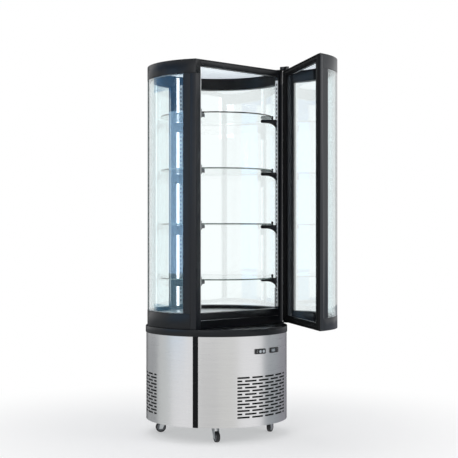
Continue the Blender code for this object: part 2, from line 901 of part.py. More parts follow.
rail_x = side_x - seat_gap
face_radius = hypot(rail_x - rail_depth, rail_y)
face_angle = degrees(acos(-rail_y / face_radius))
shelf_rail("shelf_rail_right", -90.0, rail_x, rail_y, 0.0, face_radius, face_angle)
shelf_rail("shelf_rail_left", 90.0, -rail_x, rail_y, 0.0, face_radius, -face_angle)
shelf_rail("shelf_rail_rear", 0.0, 0.0, rear_back, rear_rail_angle - rear_angle,
           rear_back - rail_depth, rear_rail_angle)

# Glass shelves
for number, height in enumerate(shelf_heights, 1):
    half = shelf_thickness / 2
    disc = Shape().turned([(shelf_radius, height - half), (shelf_radius, height + half)],
                          int(full_turn / facet_angle))
    make("glass_shelf_%d" % number, disc, clear_glass)

# Probe lead beside the right rail, from the sill up to the lowest bracket
lead = Shape().turned([(lead_radius, sill_top + seat_gap),
                       (lead_radius, bracket_tops[0] - bracket_gusset - seat_gap)], lead_sides)
make("sensor_lead", lead.shifted(rail_x - rail_depth - lead_radius - lead_stand, rail_y + lead_offset),
     black_plastic)

# Lamp on the rear post
lamp_half = lamp_width / 2
lamp_outline = [(-lamp_half, rear_back), (-lamp_half, rear_back - lamp_depth + lamp_chamfer),
                (-lamp_half + lamp_chamfer, rear_back - lamp_depth),
                (lamp_half - lamp_chamfer, rear_back - lamp_depth),
                (lamp_half, rear_back - lamp_depth + lamp_chamfer), (lamp_half, rear_back)]
make("led_lamp", Shape().prism(lamp_outline, lamp_low, lamp_high).spun(lamp_angle - rear_angle),
     lamp_white)

# Compressor, condenser and drip tray in the base
plant_low = panel_low + pan_thickness + seat_gap
foot = Shape().box((-compressor_foot_width / 2, -compressor_foot_length / 2, plant_low),
                   (compressor_foot_width / 2, compressor_foot_length / 2, plant_low + compressor_foot))
shell_low = plant_low + compressor_foot / 2
shell = Shape().turned([(compressor_radius * r, shell_low + compressor_height * h)
                        for r, h in compressor_shell_shares], fan_sides)
compressor_place = [base_radius * share for share in compressor_place_shares]
foot = foot.shifted(*compressor_place)
make("compressor", foot.joined(shell.shifted(*compressor_place)), motor_black)

condenser_outline = comb(condenser_width, condenser_back, condenser_front, condenser_root,
                         condenser_teeth, condenser_fin_share)
make("condenser_coil", Shape().prism(condenser_outline, plant_low, plant_low + condenser_height),
     copper_fin)

tray = Shape().box((tray_left, tray_front, plant_low), (tray_right, tray_back, plant_low + tray_height))
hollow = Shape().box((tray_left + tray_wall, tray_front + tray_wall, plant_low + tray_wall),
                     (tray_right - tray_wall, tray_back - tray_wall, plant_low + tray_height + cut_over))
make("drip_tray", tray.cut(hollow), black_plastic)


# Fans: a square housing with a bored opening and a motor on spokes, and its blade
def fan_housing(width, low, tall, centre, depth, bore):
    """A housing with its front at zero depth and its motor at the back, facing -Y."""
    plate = Shape().box((-width / 2, 0.0, low), (width / 2, depth, low + tall))
    opening = Shape().turned([(bore, -depth - cut_over), (bore, cut_over)], fan_sides).facing(1)
    plate = plate.cut(opening.shifted(0.0, 0.0, centre))
    spoke = bore * spoke_share
    spoke_front = depth * (1 - spoke_depth_share)
    reach = bore + (width / 2 - bore) / 2
    for outline in ([(-reach, centre - spoke), (reach, centre - spoke),
                     (reach, centre + spoke), (-reach, centre + spoke)],
                    [(-spoke, centre - reach), (spoke, centre - reach),
                     (spoke, centre + reach), (-spoke, centre + reach)]):
        plate = plate.joined(Shape().slab(outline, spoke_front, depth))
    motor_front = depth * (1 - motor_depth_share)
    motor = Shape().turned([(bore * motor_share, -depth), (bore * motor_share, -motor_front)],
                           hub_sides).facing(1)
    return plate.joined(motor.shifted(0.0, 0.0, centre))


def fan_blade(radius, depth):
    """A hub with pitched blades about the Y axis, its hub's back face at zero."""
    hub_radius = radius * hub_share
    hub_depth = depth * hub_depth_share
    blade = Shape().turned([(hub_radius, 0.0), (hub_radius, hub_depth)], hub_sides).facing(1)
    root = hub_radius * blade_root_share
    thick = radius * blade_thick_share / 2
    chord_root = root
    chord_tip = radius * blade_chord_share
    pitch = radians(blade_pitch_angle)
    for i in range(blade_count):
        loops = []
        for height, chord, lean in ((root, chord_root, 1.0), (radius, chord_tip, tip_lean_share)):
            loop = []
            for c, t in ((-1, -1), (1, -1), (1, 1), (-1, 1)):
                u = c * chord / 2
                loop.append((u * cos(pitch * lean) - t * thick * sin(pitch * lean),
                             -hub_depth / 2 + u * sin(pitch * lean) * hub_depth / chord_tip
                             + t * thick * cos(pitch * lean), height))
            loops.append(loop)
        wing = Shape().loft(loops).moved(Matrix.Rotation(2 * pi * i / blade_count, 4, "Y"))
        blade = blade.joined(wing)
    return blade


cooler_centre = plant_low + cooler_fan_centre
cooler = fan_housing(cooler_fan_width, plant_low, cooler_fan_tall, cooler_centre, cooler_fan_depth,
                     cooler_fan_bore)
make("condenser_fan_housing", cooler.shifted(0.0, cooler_fan_front), motor_black)
cooler_blade_y = cooler_fan_front + cooler_fan_depth * (1 - motor_depth_share) - seat_gap
make("condenser_fan_blade", fan_blade(cooler_fan_blade, cooler_fan_depth), fan_grey).location = (
    0.0, cooler_blade_y, cooler_centre)

cold_low = well_low + seat_gap
cold_coil_outline = comb(cold_coil_width, cold_coil_back, cold_coil_front, cold_coil_root,
                         cold_coil_teeth, cold_coil_fin_share)
make("evaporator_coil", Shape().prism(cold_coil_outline, cold_low, cold_low + cold_coil_height),
     copper_fin)
cold_centre = cold_low + cold_fan_tall / 2
cold = fan_housing(cold_fan_width, cold_low, cold_fan_tall, cold_centre, cold_fan_depth, cold_fan_bore)
make("evaporator_fan_housing", cold.shifted(0.0, cold_fan_front), motor_black)
cold_blade_y = cold_fan_front + cold_fan_depth * (1 - motor_depth_share) - seat_gap
make("evaporator_fan_blade", fan_blade(cold_fan_blade, cold_fan_depth), fan_grey).location = (
    0.0, cold_blade_y, cold_centre)


# Control units: a bezel on the panel and a body through it, built at the front and spun round
def control_unit(pockets):
    bezel_outline = [(x, z + control_height) for x, z in rounded(control_width, control_tall,
                                                                 control_corner)]
    unit = Shape().slab(bezel_outline, -control_front, -control_back)
    unit = unit.joined(Shape().box(
        (-body_width / 2, -control_front + bezel_depth / 2, control_height - body_tall / 2),
        (body_width / 2, -control_back + body_depth, control_height + body_tall / 2)))
    for pocket_shape in pockets:
        unit = unit.cut(pocket_shape)
    return unit


def front_pocket(x, z, width, tall, depth):
    return Shape().box((x - width / 2, -control_front - cut_over, control_height + z - tall / 2),
                       (x + width / 2, -control_front + depth, control_height + z + tall / 2))


def round_pocket(x, radius, depth):
    hole_shape = Shape().turned([(radius, -depth), (radius, cut_over)], hub_sides).facing(1)
    return hole_shape.shifted(x, -control_front, control_height)


rocker_pocket = front_pocket(rocker_place, 0.0, rocker_width + 2 * bore_gap,
                             2 * (rocker_half_height + rocker_room), pocket_depth)
button_pockets = [round_pocket(x, button_radius + button_room, pocket_depth) for x in button_places]
make("control_plate", control_unit([rocker_pocket] + button_pockets).spun(switch_plate_angle),
     black_plastic)

rocker_outline = [(-rocker_front, rocker_half_height), (-rocker_waist, 0.0),
                  (-rocker_front, -rocker_half_height), (rocker_back, -rocker_back_half),
                  (rocker_back, rocker_back_half)]
rocker = Shape().loft([[(x, y, z) for y, z in rocker_outline]
                       for x in (-rocker_width / 2, rocker_width / 2)])
rocker.moved(Matrix.Rotation(radians(rocker_tilt), 4, "X")).spun(switch_plate_angle)
rocker_centre = Matrix.Rotation(radians(switch_plate_angle), 4, "Z") @ Vector(
    (rocker_place, -control_front + rocker_pivot_depth, control_height))
make("power_switch", rocker, black_plastic).location = rocker_centre


def fixed_in_unit(x, z, unit_angle):
    """A place on a control unit's front face."""
    return Matrix.Rotation(radians(unit_angle), 4, "Z") @ Vector((x, -control_front, control_height + z))


for name, x in zip(("light_button", "defrost_button"), button_places):
    button = Shape().turned([(button_radius, -button_tail), (button_radius, button_proud)],
                            hub_sides).facing(1).spun(switch_plate_angle)
    make(name, button, lamp_white).location = fixed_in_unit(x, 0.0, switch_plate_angle)

key_pockets = [front_pocket(key_place, z, key_width + 2 * bore_gap, key_tall + 2 * bore_gap, key_pocket)
               for z in (key_offset, -key_offset)]
display = front_pocket(window_place, 0.0, window_width, window_tall, window_depth)
make("thermostat", control_unit(key_pockets + [display]).spun(thermostat_angle), black_plastic)
for name, z in (("key_up", key_offset), ("key_down", -key_offset)):
    key = Shape().box((-key_width / 2, -key_proud, -key_tall / 2),
                      (key_width / 2, key_tail, key_tall / 2)).spun(thermostat_angle)
    make(name, key, black_plastic).location = fixed_in_unit(key_place, z, thermostat_angle)

# Power inlet with its socket and blades
inlet_front = control_back + inlet_flange_depth
flange = Shape().slab(rounded(inlet_flange_width, inlet_flange_tall, control_corner),
                      -inlet_front, -control_back)
inlet = flange.joined(Shape().box(
    (-inlet_body_width / 2, -inlet_front + inlet_flange_depth / 2, -inlet_body_tall / 2),
    (inlet_body_width / 2, -control_back + inlet_body_depth, inlet_body_tall / 2)))
inlet = inlet.cut(Shape().box(
    (-inlet_socket_width / 2, -inlet_front - cut_over, -inlet_socket_tall / 2),
    (inlet_socket_width / 2, -inlet_front + inlet_socket_depth, inlet_socket_tall / 2)))
for i in (-1, 0, 1):
    middle = i * inlet_blade_pitch
    floor_y = -inlet_front + inlet_socket_depth
    inlet = inlet.joined(Shape().box(
        (middle - inlet_blade_width / 2, floor_y - inlet_blade_length, -inlet_blade_tall / 2),
        (middle + inlet_blade_width / 2, floor_y + cut_over, inlet_blade_tall / 2)))
make("power_inlet", inlet.shifted(0.0, 0.0, inlet_height).spun(inlet_angle), black_plastic)


# Hinge leaves with their pins, on the cap and on the ring
def ray_from_pivot(angle, reach, side):
    """A point that lies along an angle from the hinge's axis, and to its side."""
    a = radians(angle)
    return (pivot.x + reach * cos(a) - side * sin(a), pivot.y + reach * sin(a) + side * cos(a))


def leaf_outline(radius, angle, reach):
    """A leaf with both ends round, from the hinge's axis outward."""
    points = []
    for end, turn in ((reach, 0.0), (0.0, 180.0)):
        for k in range(round_steps + 1):
            t = radians(angle + turn) + pi * (k / round_steps - 1 / 2)
            x, y = ray_from_pivot(angle, end, 0.0)
            points.append((x + radius * cos(t), y + radius * sin(t)))
    return points


def pin(radius, low, high):
    return Shape().turned([(radius, low), (radius, high)], hub_sides).shifted(pivot.x, pivot.y)


upper_leaf_low = case_top + seat_gap
upper_leaf_high = upper_leaf_low + upper_leaf
upper = Shape().prism(leaf_outline(upper_leaf_radius, upper_leaf_angle, upper_leaf_reach),
                      upper_leaf_low, upper_leaf_high)
upper = upper.joined(pin(upper_pin_radius, upper_leaf_low + upper_leaf / 2,
                         upper_leaf_high + upper_pin_length))
make("hinge_leaf_upper", upper, black_coat)
lower_leaf_high = tower_low + lower_leaf
lower_outline = [(pivot.x - lower_leaf_length, chord_y - seat_gap),
                 (pivot.x - lower_leaf_length, pivot.y - lower_leaf_out),
                 (pivot.x, pivot.y - lower_leaf_out), (pivot.x + lower_leaf_side, pivot.y),
                 (pivot.x + lower_leaf_side, chord_y - seat_gap)]
lower = Shape().prism(lower_outline, tower_low, lower_leaf_high)
lower = lower.joined(pin(lower_pin_radius, tower_low + lower_leaf / 2, lower_leaf_high + lower_pin_length))
make("hinge_leaf_lower", lower, black_coat)

# Door frame: the flat frame with its curved stiles, which carries the rest of the door
frame_half = -door_plane * sin(radians(door_corner_angle)) / cos(radians(door_corner_angle))
frame_back_half = sqrt(tower_radius ** 2 - door_back ** 2)
frame_low = door_low + door_plate + seat_gap
frame_high = case_top - door_plate - seat_gap
frame_open_half = frame_half - door_stile_face
frame_open_low = door_low + door_rail_face
frame_open_high = case_top - door_rail_face


def frame_place(x, z, side):
    if side and abs(x) > frame_open_half + cut_over:
        x = frame_back_half if x > 0 else -frame_back_half
    return (x - pivot.x, (door_back if side else door_plane) - pivot.y, z)


frame_shape = Shape().pierced(
    [-frame_half, -frame_open_half, frame_open_half, frame_half],
    [frame_low, frame_open_low, frame_open_high, frame_high],
    [(-frame_open_half, frame_open_half, frame_open_low, frame_open_high)], frame_place)
top_skirt_low = case_top - door_top_skirt
bottom_skirt_high = door_low + door_bottom_skirt
stile_lap_y = door_back + door_stile_lap
right_stile = (arc(tower_radius, stile_front_angle, degrees(acos(-stile_lap_y / tower_radius)))
               + arc(tower_inner, stile_front_angle, degrees(acos(-stile_lap_y / tower_inner)))[::-1])
for outline in (right_stile, mirrored(right_stile)):
    stile = Shape().prism(outline, bottom_skirt_high + seat_gap, top_skirt_low - seat_gap)
    frame_shape = frame_shape.joined(stile.shifted(-pivot.x, -pivot.y))
door = make("door_frame", frame_shape, black_coat)
door.location = pivot
door.rotation_euler = (0.0, 0.0, radians(door_rest_angle))


def on_door(name, shape, look):
    """A piece drawn in the closed door's place, then carried by the door."""
    make(name, shape.shifted(-pivot.x, -pivot.y), look, parent=door)


# Door top and bottom: a flat plate with a curved skirt
stile_back_y = door_back - seat_gap
stile_inner_angle = degrees(acos(-stile_back_y / tower_inner))
door_outline = arc(tower_radius, -door_corner_angle, door_corner_angle)
skirt_pocket = ([(half_chord, stile_back_y), (half_chord, door_plane + cut_over),
                 (-half_chord, door_plane + cut_over), (-half_chord, stile_back_y)]
                + arc(tower_inner, -stile_inner_angle, stile_inner_angle))

door_top = Shape().prism(door_outline, top_skirt_low, case_top)
door_top = door_top.cut(Shape().prism(skirt_pocket, top_skirt_low - cut_over, case_top - door_plate))
arm_low = case_top - upper_arm_lap
arm = Shape().prism([ray_from_pivot(hinge_arm_angle, r, s) for r, s in (
    (upper_arm_start, -upper_arm_half), (upper_arm_reach, -upper_arm_half),
    (upper_arm_reach, upper_arm_half), (upper_arm_start, upper_arm_half))], arm_low, hinge_block_top)
block_low = upper_leaf_high + seat_gap
block = Shape().turned([(hinge_block_radius, block_low), (hinge_block_radius, hinge_block_top)],
                       fan_sides).shifted(pivot.x, pivot.y)
door_top = door_top.joined(arm).joined(block).cut(
    pin(upper_pin_radius + bore_gap, block_low - cut_over, upper_leaf_high + upper_pin_length + bore_gap))
on_door("door_top", door_top, black_coat)

door_bottom = Shape().prism(door_outline, door_low, bottom_skirt_high)
door_bottom = door_bottom.cut(Shape().prism(skirt_pocket, door_low + door_plate,
                                            bottom_skirt_high + cut_over))
eye = Shape().turned([(lower_eye_radius, lower_eye_low), (lower_eye_radius, lower_eye_high)],
                     fan_sides).shifted(pivot.x, pivot.y)
eye_arm = Shape().prism([ray_from_pivot(hinge_arm_angle, r, s) for r, s in (
    (0.0, -lower_arm_half), (lower_arm_reach, -lower_arm_half),
    (lower_arm_reach, lower_arm_half), (0.0, lower_arm_half))], lower_eye_low, lower_eye_high)
door_bottom = door_bottom.joined(eye).joined(eye_arm).cut(
    pin(lower_pin_radius + bore_gap, lower_eye_low - cut_over, lower_eye_high + cut_over))
on_door("door_bottom", door_bottom, black_coat)

# Curved double glazing of the door
door_glass_angle = stile_front_angle - wall_angle
on_door("door_glass", glazing(bottom_skirt_high + seat_gap, top_skirt_low - seat_gap,
                              -door_glass_angle, door_glass_angle), clear_glass)

# Gasket on the door's flat frame
gasket_half = frame_half - gasket_margin / 2
gasket_low = door_low + gasket_margin
gasket_high = case_top - gasket_margin
gasket_windows = [(gasket_width - gasket_half, gasket_half - gasket_width,
                   gasket_low + gasket_width, gasket_high - gasket_width)]


def gasket_place(x, z, side):
    return (x, door_plane + seat_gap if side else chord_y - seat_gap, z)


gasket = Shape().pierced([-gasket_half, gasket_width - gasket_half, gasket_half - gasket_width, gasket_half],
                         [gasket_low, gasket_low + gasket_width, gasket_high - gasket_width, gasket_high],
                         gasket_windows, gasket_place)
on_door("door_gasket", gasket, black_rubber)
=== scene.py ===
from math import acos, cos, degrees, hypot, pi, radians, sin

import bmesh
import bpy
from mathutils import Matrix, Vector


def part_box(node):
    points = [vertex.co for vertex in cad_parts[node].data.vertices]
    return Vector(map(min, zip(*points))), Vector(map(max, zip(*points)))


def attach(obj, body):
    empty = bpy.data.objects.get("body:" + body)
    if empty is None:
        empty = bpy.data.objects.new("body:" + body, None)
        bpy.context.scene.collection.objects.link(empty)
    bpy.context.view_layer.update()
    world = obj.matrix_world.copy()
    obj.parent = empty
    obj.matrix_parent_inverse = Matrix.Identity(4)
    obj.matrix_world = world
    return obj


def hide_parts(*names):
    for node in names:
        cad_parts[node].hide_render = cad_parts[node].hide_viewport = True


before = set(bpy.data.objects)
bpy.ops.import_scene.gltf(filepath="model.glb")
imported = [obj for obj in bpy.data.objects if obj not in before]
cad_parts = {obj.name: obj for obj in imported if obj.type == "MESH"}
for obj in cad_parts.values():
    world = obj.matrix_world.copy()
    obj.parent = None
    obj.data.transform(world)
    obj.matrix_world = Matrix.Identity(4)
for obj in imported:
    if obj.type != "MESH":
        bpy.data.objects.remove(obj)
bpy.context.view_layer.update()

# Camera and studio. The case is photographed from its left front with a long lens, in a white
# room: a pale floor that fades into the white, one large soft lamp on each side and one above.
# Cards round the case are what the steel, the coating and the glass mirror as softer bands.
scene = bpy.context.scene
scene.view_settings.view_transform = "Standard"
camera = bpy.data.objects.new("camera", bpy.data.cameras.new("camera"))
scene.collection.objects.link(camera)
scene.camera = camera
camera.location = (-3.7539, -3.9558, 0.955)
camera.rotation_euler = (radians(90.229), 0.0, radians(-44.130))
camera.data.lens = 89.02
camera.data.sensor_width = 36.0
camera.data.clip_start = 0.1
camera.data.clip_end = 60.0


def add_node(tree, kind, inputs, **settings):
    """A node with its settings, and with values, sockets or nodes put into its inputs."""
    node = tree.nodes.new(kind)
    for key, value in settings.items():
        setattr(node, key, value)
    for key, value in inputs.items():
        for each in value if isinstance(value, list) else [value]:
            if isinstance(each, bpy.types.Node):
                each = each.outputs[0]
            if isinstance(each, bpy.types.NodeSocket):
                tree.links.new(each, node.inputs[key])
            else:
                node.inputs[key].default_value = each
    return node


def srgb(code, alpha=1.0):
    """A hex value as linear colour."""
    parts = [int(code[i:i + 2], 16) / 255 for i in (1, 3, 5)]
    return (*[p / 12.92 if p <= 0.04045 else ((p + 0.055) / 1.055) ** 2.4 for p in parts], alpha)


room = bpy.data.worlds.new("white_room")
scene.world = room
room.use_nodes = True
tree = room.node_tree
tree.nodes.clear()
ray = add_node(tree, "ShaderNodeLightPath", {}).outputs
seen = add_node(tree, "ShaderNodeMath", {0: ray["Is Camera Ray"], 1: ray["Is Glossy Ray"]},
                operation="MAXIMUM")
seen = add_node(tree, "ShaderNodeMath", {0: seen, 1: ray["Is Transmission Ray"]}, operation="MAXIMUM")
fill = add_node(tree, "ShaderNodeBackground", {"Color": srgb("#f4f6fa"), "Strength": 0.62})
white = add_node(tree, "ShaderNodeBackground", {"Color": srgb("#ffffff"), "Strength": 1.0})
both = add_node(tree, "ShaderNodeMixShader", {0: seen, 1: fill, 2: white})
add_node(tree, "ShaderNodeOutputWorld", {"Surface": both})

lamp_target = Vector((0.0, 0.0, 0.9))
for name, place, size, power in (("lamp_left", (-3.0, -1.6, 2.6), 1.8, 30.0),
                                 ("lamp_right", (1.6, -3.4, 2.2), 1.6, 22.0),
                                 ("lamp_above", (0.2, 0.6, 4.0), 2.4, 24.0)):
    lamp = bpy.data.objects.new(name, bpy.data.lights.new(name, "AREA"))
    lamp.data.shape = "SQUARE"
    lamp.data.size = size
    lamp.data.energy = power
    lamp.location = place
    lamp.rotation_euler = (Vector(place) - lamp_target).to_track_quat("Z", "Y").to_euler()
    scene.collection.objects.link(lamp)

floor_mesh = bpy.data.meshes.new("studio_floor")
floor_sheet = bmesh.new()
bmesh.ops.create_circle(floor_sheet, cap_ends=True, segments=96, radius=2.6)
floor_sheet.to_mesh(floor_mesh)
floor_sheet.free()
studio_floor = bpy.data.objects.new("studio_floor", floor_mesh)
scene.collection.objects.link(studio_floor)
floor_paint = bpy.data.materials.new("white_paper_floor")
floor_paint.use_nodes = True
tree = floor_paint.node_tree
paper = tree.nodes["Principled BSDF"]
paper.inputs["Base Color"].default_value = srgb("#fbfbfb")
paper.inputs["Roughness"].default_value = 0.9
place = add_node(tree, "ShaderNodeTexCoord", {})
reach = add_node(tree, "ShaderNodeVectorMath", {0: place.outputs["Object"]}, operation="LENGTH")
fade = add_node(tree, "ShaderNodeMapRange", {
    "Value": reach.outputs["Value"], "From Min": 0.4, "From Max": 1.9, "To Min": 0.35},
    interpolation_type="SMOOTHSTEP")
glow = add_node(tree, "ShaderNodeEmission", {"Color": srgb("#ffffff"), "Strength": 1.0})
add_node(tree, "ShaderNodeMixShader", {0: fade, 1: paper, 2: glow})
tree.links.new(tree.nodes[-1].outputs[0], tree.nodes["Material Output"].inputs["Surface"])
floor_mesh.materials.append(floor_paint)
studio_floor.visible_glossy = False

card_distance = 2.9
card_steps = 3
for name, start, stop, low, high, shade, power in (
        ("card_far_left", -221.0, -191.0, -1.2, 2.4, "#17181b", 1.0),
        ("card_low_left", -191.0, -148.0, -1.2, 0.41, "#a9abac", 1.0),
        ("card_low_middle_left", -148.0, -118.0, -1.2, 0.41, "#dcdfdd", 1.0),
        ("card_window_foot", -165.0, -125.0, 0.41, 0.46, "#5f94b8", 0.8),
        ("card_window_low", -125.0, -92.0, 0.41, 0.68, "#a8d4f0", 0.9),
        ("card_window", -125.0, -92.0, 0.68, 1.80, "#afd8ff", 2.2),
        ("card_window_head", -125.0, -92.0, 1.80, 2.7, "#659ace", 1.0),
        ("card_window_side", -165.0, -125.0, 1.95, 2.7, "#659ace", 0.8),
        ("card_low_near_left", -75.0, -40.0, -1.2, 0.45, "#dcdcda", 1.0),
        ("card_low_middle", -40.0, -10.0, -1.2, 0.45, "#e6e6e2", 1.0),
        ("card_low_right", 33.0, 72.0, -1.2, 0.45, "#9da3a7", 1.0),
        ("card_low_far_right", 72.0, 108.0, -1.2, 0.45, "#94939a", 1.0),
        ("card_far_right", 108.0, 130.0, -1.2, 2.4, "#17181b", 1.0)):
    card = bmesh.new()
    turns = [radians(start + (stop - start) * k / card_steps) for k in range(card_steps + 1)]
    near, far = [[card.verts.new((card_distance * sin(a), -card_distance * cos(a), z)) for a in turns]
                 for z in (low, high)]
    for k in range(card_steps):
        card.faces.new((near[k], near[k + 1], far[k + 1], far[k]))
    card_mesh = bpy.data.meshes.new(name)
    card.to_mesh(card_mesh)
    card.free()
    card_paint = bpy.data.materials.new(name + "_paper")
    card_paint.use_nodes = True
    tree = card_paint.node_tree
    lit = add_node(tree, "ShaderNodeEmission", {"Color": srgb(shade), "Strength": power})
    # It shows only in rays that something has mirrored, and looking through the glass passes it.
    path = add_node(tree, "ShaderNodeLightPath", {})
    passed = add_node(tree, "ShaderNodeBsdfTransparent", {})
    add_node(tree, "ShaderNodeMixShader", {0: path.outputs["Glossy Depth"], 1: passed, 2: lit})
    tree.links.new(tree.nodes[-1].outputs[0], tree.nodes["Material Output"].inputs["Surface"])
    card_mesh.materials.append(card_paint)
    card_sheet = bpy.data.objects.new(name, card_mesh)
    scene.collection.objects.link(card_sheet)
    card_sheet.visible_camera = False
    card_sheet.visible_diffuse = False
    card_sheet.visible_transmission = name.startswith("card_window")
    card_sheet.visible_shadow = False


# Base frame. A galvanised steel pan carries three folded uprights, which are welded in behind
# the joints of the panels, and the bosses that the castors screw into.
def finish(name, sizes_mm, dark, light, rough, bump=0.0, metal=0.0, index=1.5, gloss=0.5,
           glow=("#ffffff", 0.0)):
    """A material whose grain has real sizes in millimetres along X, Y and Z."""
    made = bpy.data.materials.new(name)
    made.use_nodes = True
    tree = made.node_tree
    shader = tree.nodes["Principled BSDF"]
    for key, value in (("Metallic", metal), ("IOR", index), ("Specular IOR Level", gloss),
                       ("Emission Color", srgb(glow[0])), ("Emission Strength", glow[1])):
        shader.inputs[key].default_value = value
    place = add_node(tree, "ShaderNodeTexCoord", {})
    spread = add_node(tree, "ShaderNodeMapping", {
        "Vector": place.outputs["Object"], "Scale": tuple(1000 / s for s in sizes_mm)})
    grain = add_node(tree, "ShaderNodeTexNoise", {
        "Vector": spread, "Scale": 1.0, "Detail": 3.0, "Roughness": 0.55}).outputs["Fac"]
    tint = add_node(tree, "ShaderNodeValToRGB", {"Fac": grain})
    grain_low, grain_high = 0.3, 0.7
    for stop, at, code in zip(tint.color_ramp.elements, (grain_low, grain_high), (dark, light)):
        stop.position, stop.color = at, srgb(code)
    sheen = add_node(tree, "ShaderNodeMapRange", {
        "Value": grain, "From Min": grain_low, "From Max": grain_high, "To Min": rough[0],
        "To Max": rough[1]})
    tree.links.new(tint.outputs["Color"], shader.inputs["Base Color"])
    tree.links.new(sheen.outputs["Result"], shader.inputs["Roughness"])
    if bump:
        lift = add_node(tree, "ShaderNodeBump", {"Height": grain, "Distance": bump, "Strength": 1.0})
        tree.links.new(lift.outputs["Normal"], shader.inputs["Normal"])
    return made


def repaint(material, *nodes):
    """Gives the frame's own nodes a finished material."""
    for node in nodes:
        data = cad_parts[node].data
        data.materials.clear()
        data.materials.append(material)


# Hot-dip zinc: a mid grey metal with spangles of about 12 mm.
galvanised_steel = finish("galvanised_steel", (12, 12, 12), "#8d9193", "#b4b8ba", (0.38, 0.55),
                          metal=1.0)
repaint(galvanised_steel, "base_frame")

# Castors. Four swivel castors: a zinc-plated folded fork on a kingpin, and a moulded wheel with a
# grey nylon centre and a soft black tread, turning on a riveted axle.
trail_angles = (20.0, 75.0, 140.0, 250.0)
wheel_radius = 0.025
wheel_half = 0.0085
tread_inner_radius = 0.0182


def spin(angle, axis="Z"):
    """A turn in degrees about an axis through the origin."""
    return Matrix.Rotation(radians(angle), 4, axis)


def put(name, mesh, body, nodes=(), paint=None, sharp=38.0):
    """Shows a finished mesh on its body, in the place of the nodes that it stands for."""
    shown = bpy.data.objects.new(name, mesh)
    scene.collection.objects.link(shown)
    if paint:
        mesh.materials.clear()
        mesh.materials.append(paint)
    if sharp:
        mesh.shade_smooth()
        mesh.set_sharp_from_angle(angle=radians(sharp))
    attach(shown, body)
    if nodes:
        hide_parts(*nodes)
    return shown


def skin(loops, ends=True):
    """Loops of points joined in turn, with closed ends or round again from the last to the first."""
    made = bmesh.new()
    rows = [[made.verts.new(point) for point in loop] for loop in loops]
    for row, other in zip(rows, rows[1:] if ends else rows[1:] + rows[:1]):
        for k in range(len(row)):
            n = (k + 1) % len(row)
            made.faces.new((row[k], row[n], other[n], other[k]))
    if ends:
        made.faces.new(rows[0])
        made.faces.new(rows[-1])
    bmesh.ops.recalc_face_normals(made, faces=made.faces)
    mesh = bpy.data.meshes.new("skin")
    made.to_mesh(mesh)
    made.free()
    return mesh


def turned(profile, sides):
    """A closed profile in radius and height, turned about Z and joined round."""
    turns = [2 * pi * i / sides for i in range(sides)]
    return skin([[(r * cos(a), r * sin(a), z) for a in turns] for r, z in profile], False)


def eased(node, ease, steps=2):
    """A node's own shape as a clean mesh with its sharp edges rounded."""
    work = bmesh.new()
    work.from_mesh(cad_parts[node].data)
    bmesh.ops.remove_doubles(work, verts=work.verts, dist=0.00001)
    bmesh.ops.dissolve_limit(work, angle_limit=radians(0.6), verts=work.verts, edges=work.edges)
    mesh = bpy.data.meshes.new(node + "_blank")
    work.to_mesh(mesh)
    work.free()
    mesh.shade_smooth()
    blank = bpy.data.objects.new(node + "_blank", mesh)
    scene.collection.objects.link(blank)
    bevel = blank.modifiers.new("ease", "BEVEL")
    bevel.width = ease
    bevel.segments = steps
    bevel.limit_method = "ANGLE"
    bevel.angle_limit = radians(30.0)
    bevel.harden_normals = True
    done = bpy.data.meshes.new_from_object(blank.evaluated_get(bpy.context.evaluated_depsgraph_get()))
    bpy.data.objects.remove(blank)
    return done


# Soft polyurethane: near black and dull, with a faint mottle.
black_tread = finish("black_polyurethane", (9, 9, 9), "#17181a", "#222326", (0.62, 0.78), 0.0001)
# Moulded nylon: mid grey with a light sheen.
grey_nylon = finish("grey_nylon", (6, 6, 6), "#6d7074", "#7a7d81", (0.42, 0.52), 0.00005, index=1.53)
# Bright zinc plate: a cool grey metal.
zinc_plate = finish("zinc_plated_steel", (30, 30, 6), "#a3a7aa", "#bfc3c6", (0.30, 0.42), metal=1.0)
wheel_profile = [(0.0044, -wheel_half), (0.0085, -wheel_half), (0.0095, -wheel_half + 0.0018),
                 (0.0165, -wheel_half + 0.0018), (0.0180, -wheel_half), (0.0222, -wheel_half),
                 (0.0243, -wheel_half + 0.0012), (wheel_radius, -wheel_half + 0.0040),
                 (wheel_radius, wheel_half - 0.0040), (0.0243, wheel_half - 0.0012),
                 (0.0222, wheel_half), (0.0180, wheel_half), (0.0165, wheel_half - 0.0018),
                 (0.0095, wheel_half - 0.0018), (0.0085, wheel_half), (0.0044, wheel_half)]
for number, trail in enumerate(trail_angles, 1):
    low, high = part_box("castor_wheel_%d" % number)
    wheel = turned(wheel_profile, sides=56)
    wheel.materials.append(grey_nylon)
    wheel.materials.append(black_tread)
    for side in wheel.polygons:
        side.material_index = 1 if hypot(*side.center[:2]) > tread_inner_radius else 0
    centre = (low + high) / 2
    centre.z = wheel_radius
    wheel.transform(Matrix.Translation(centre) @ spin(trail) @ spin(90.0, "X"))
    put("wheel_%d" % number, wheel, "wheel_%d" % number,
        ["castor_wheel_%d" % number])
    put("fork_%d" % number, eased("castor_fork_%d" % number, 0.0006), "castor_%d" % number,
        ["castor_fork_%d" % number], zinc_plate, sharp=0)

# Refrigeration plant on the pan: a black enamelled hermetic compressor, an aluminium-finned
# condenser with its fan, and a moulded tray that catches the melt water.
# Stoving enamel: deep black, glossy, with a slight ripple.
black_enamel = finish("black_enamel", (25, 25, 25), "#131416", "#1c1d20", (0.22, 0.32), 0.0001)
# Pressed aluminium fins: a pale satin metal with fine upright lines.
aluminium_fins = finish("aluminium_fins", (3, 60, 60), "#a9adb0", "#cfd2d4", (0.32, 0.48), metal=1.0)
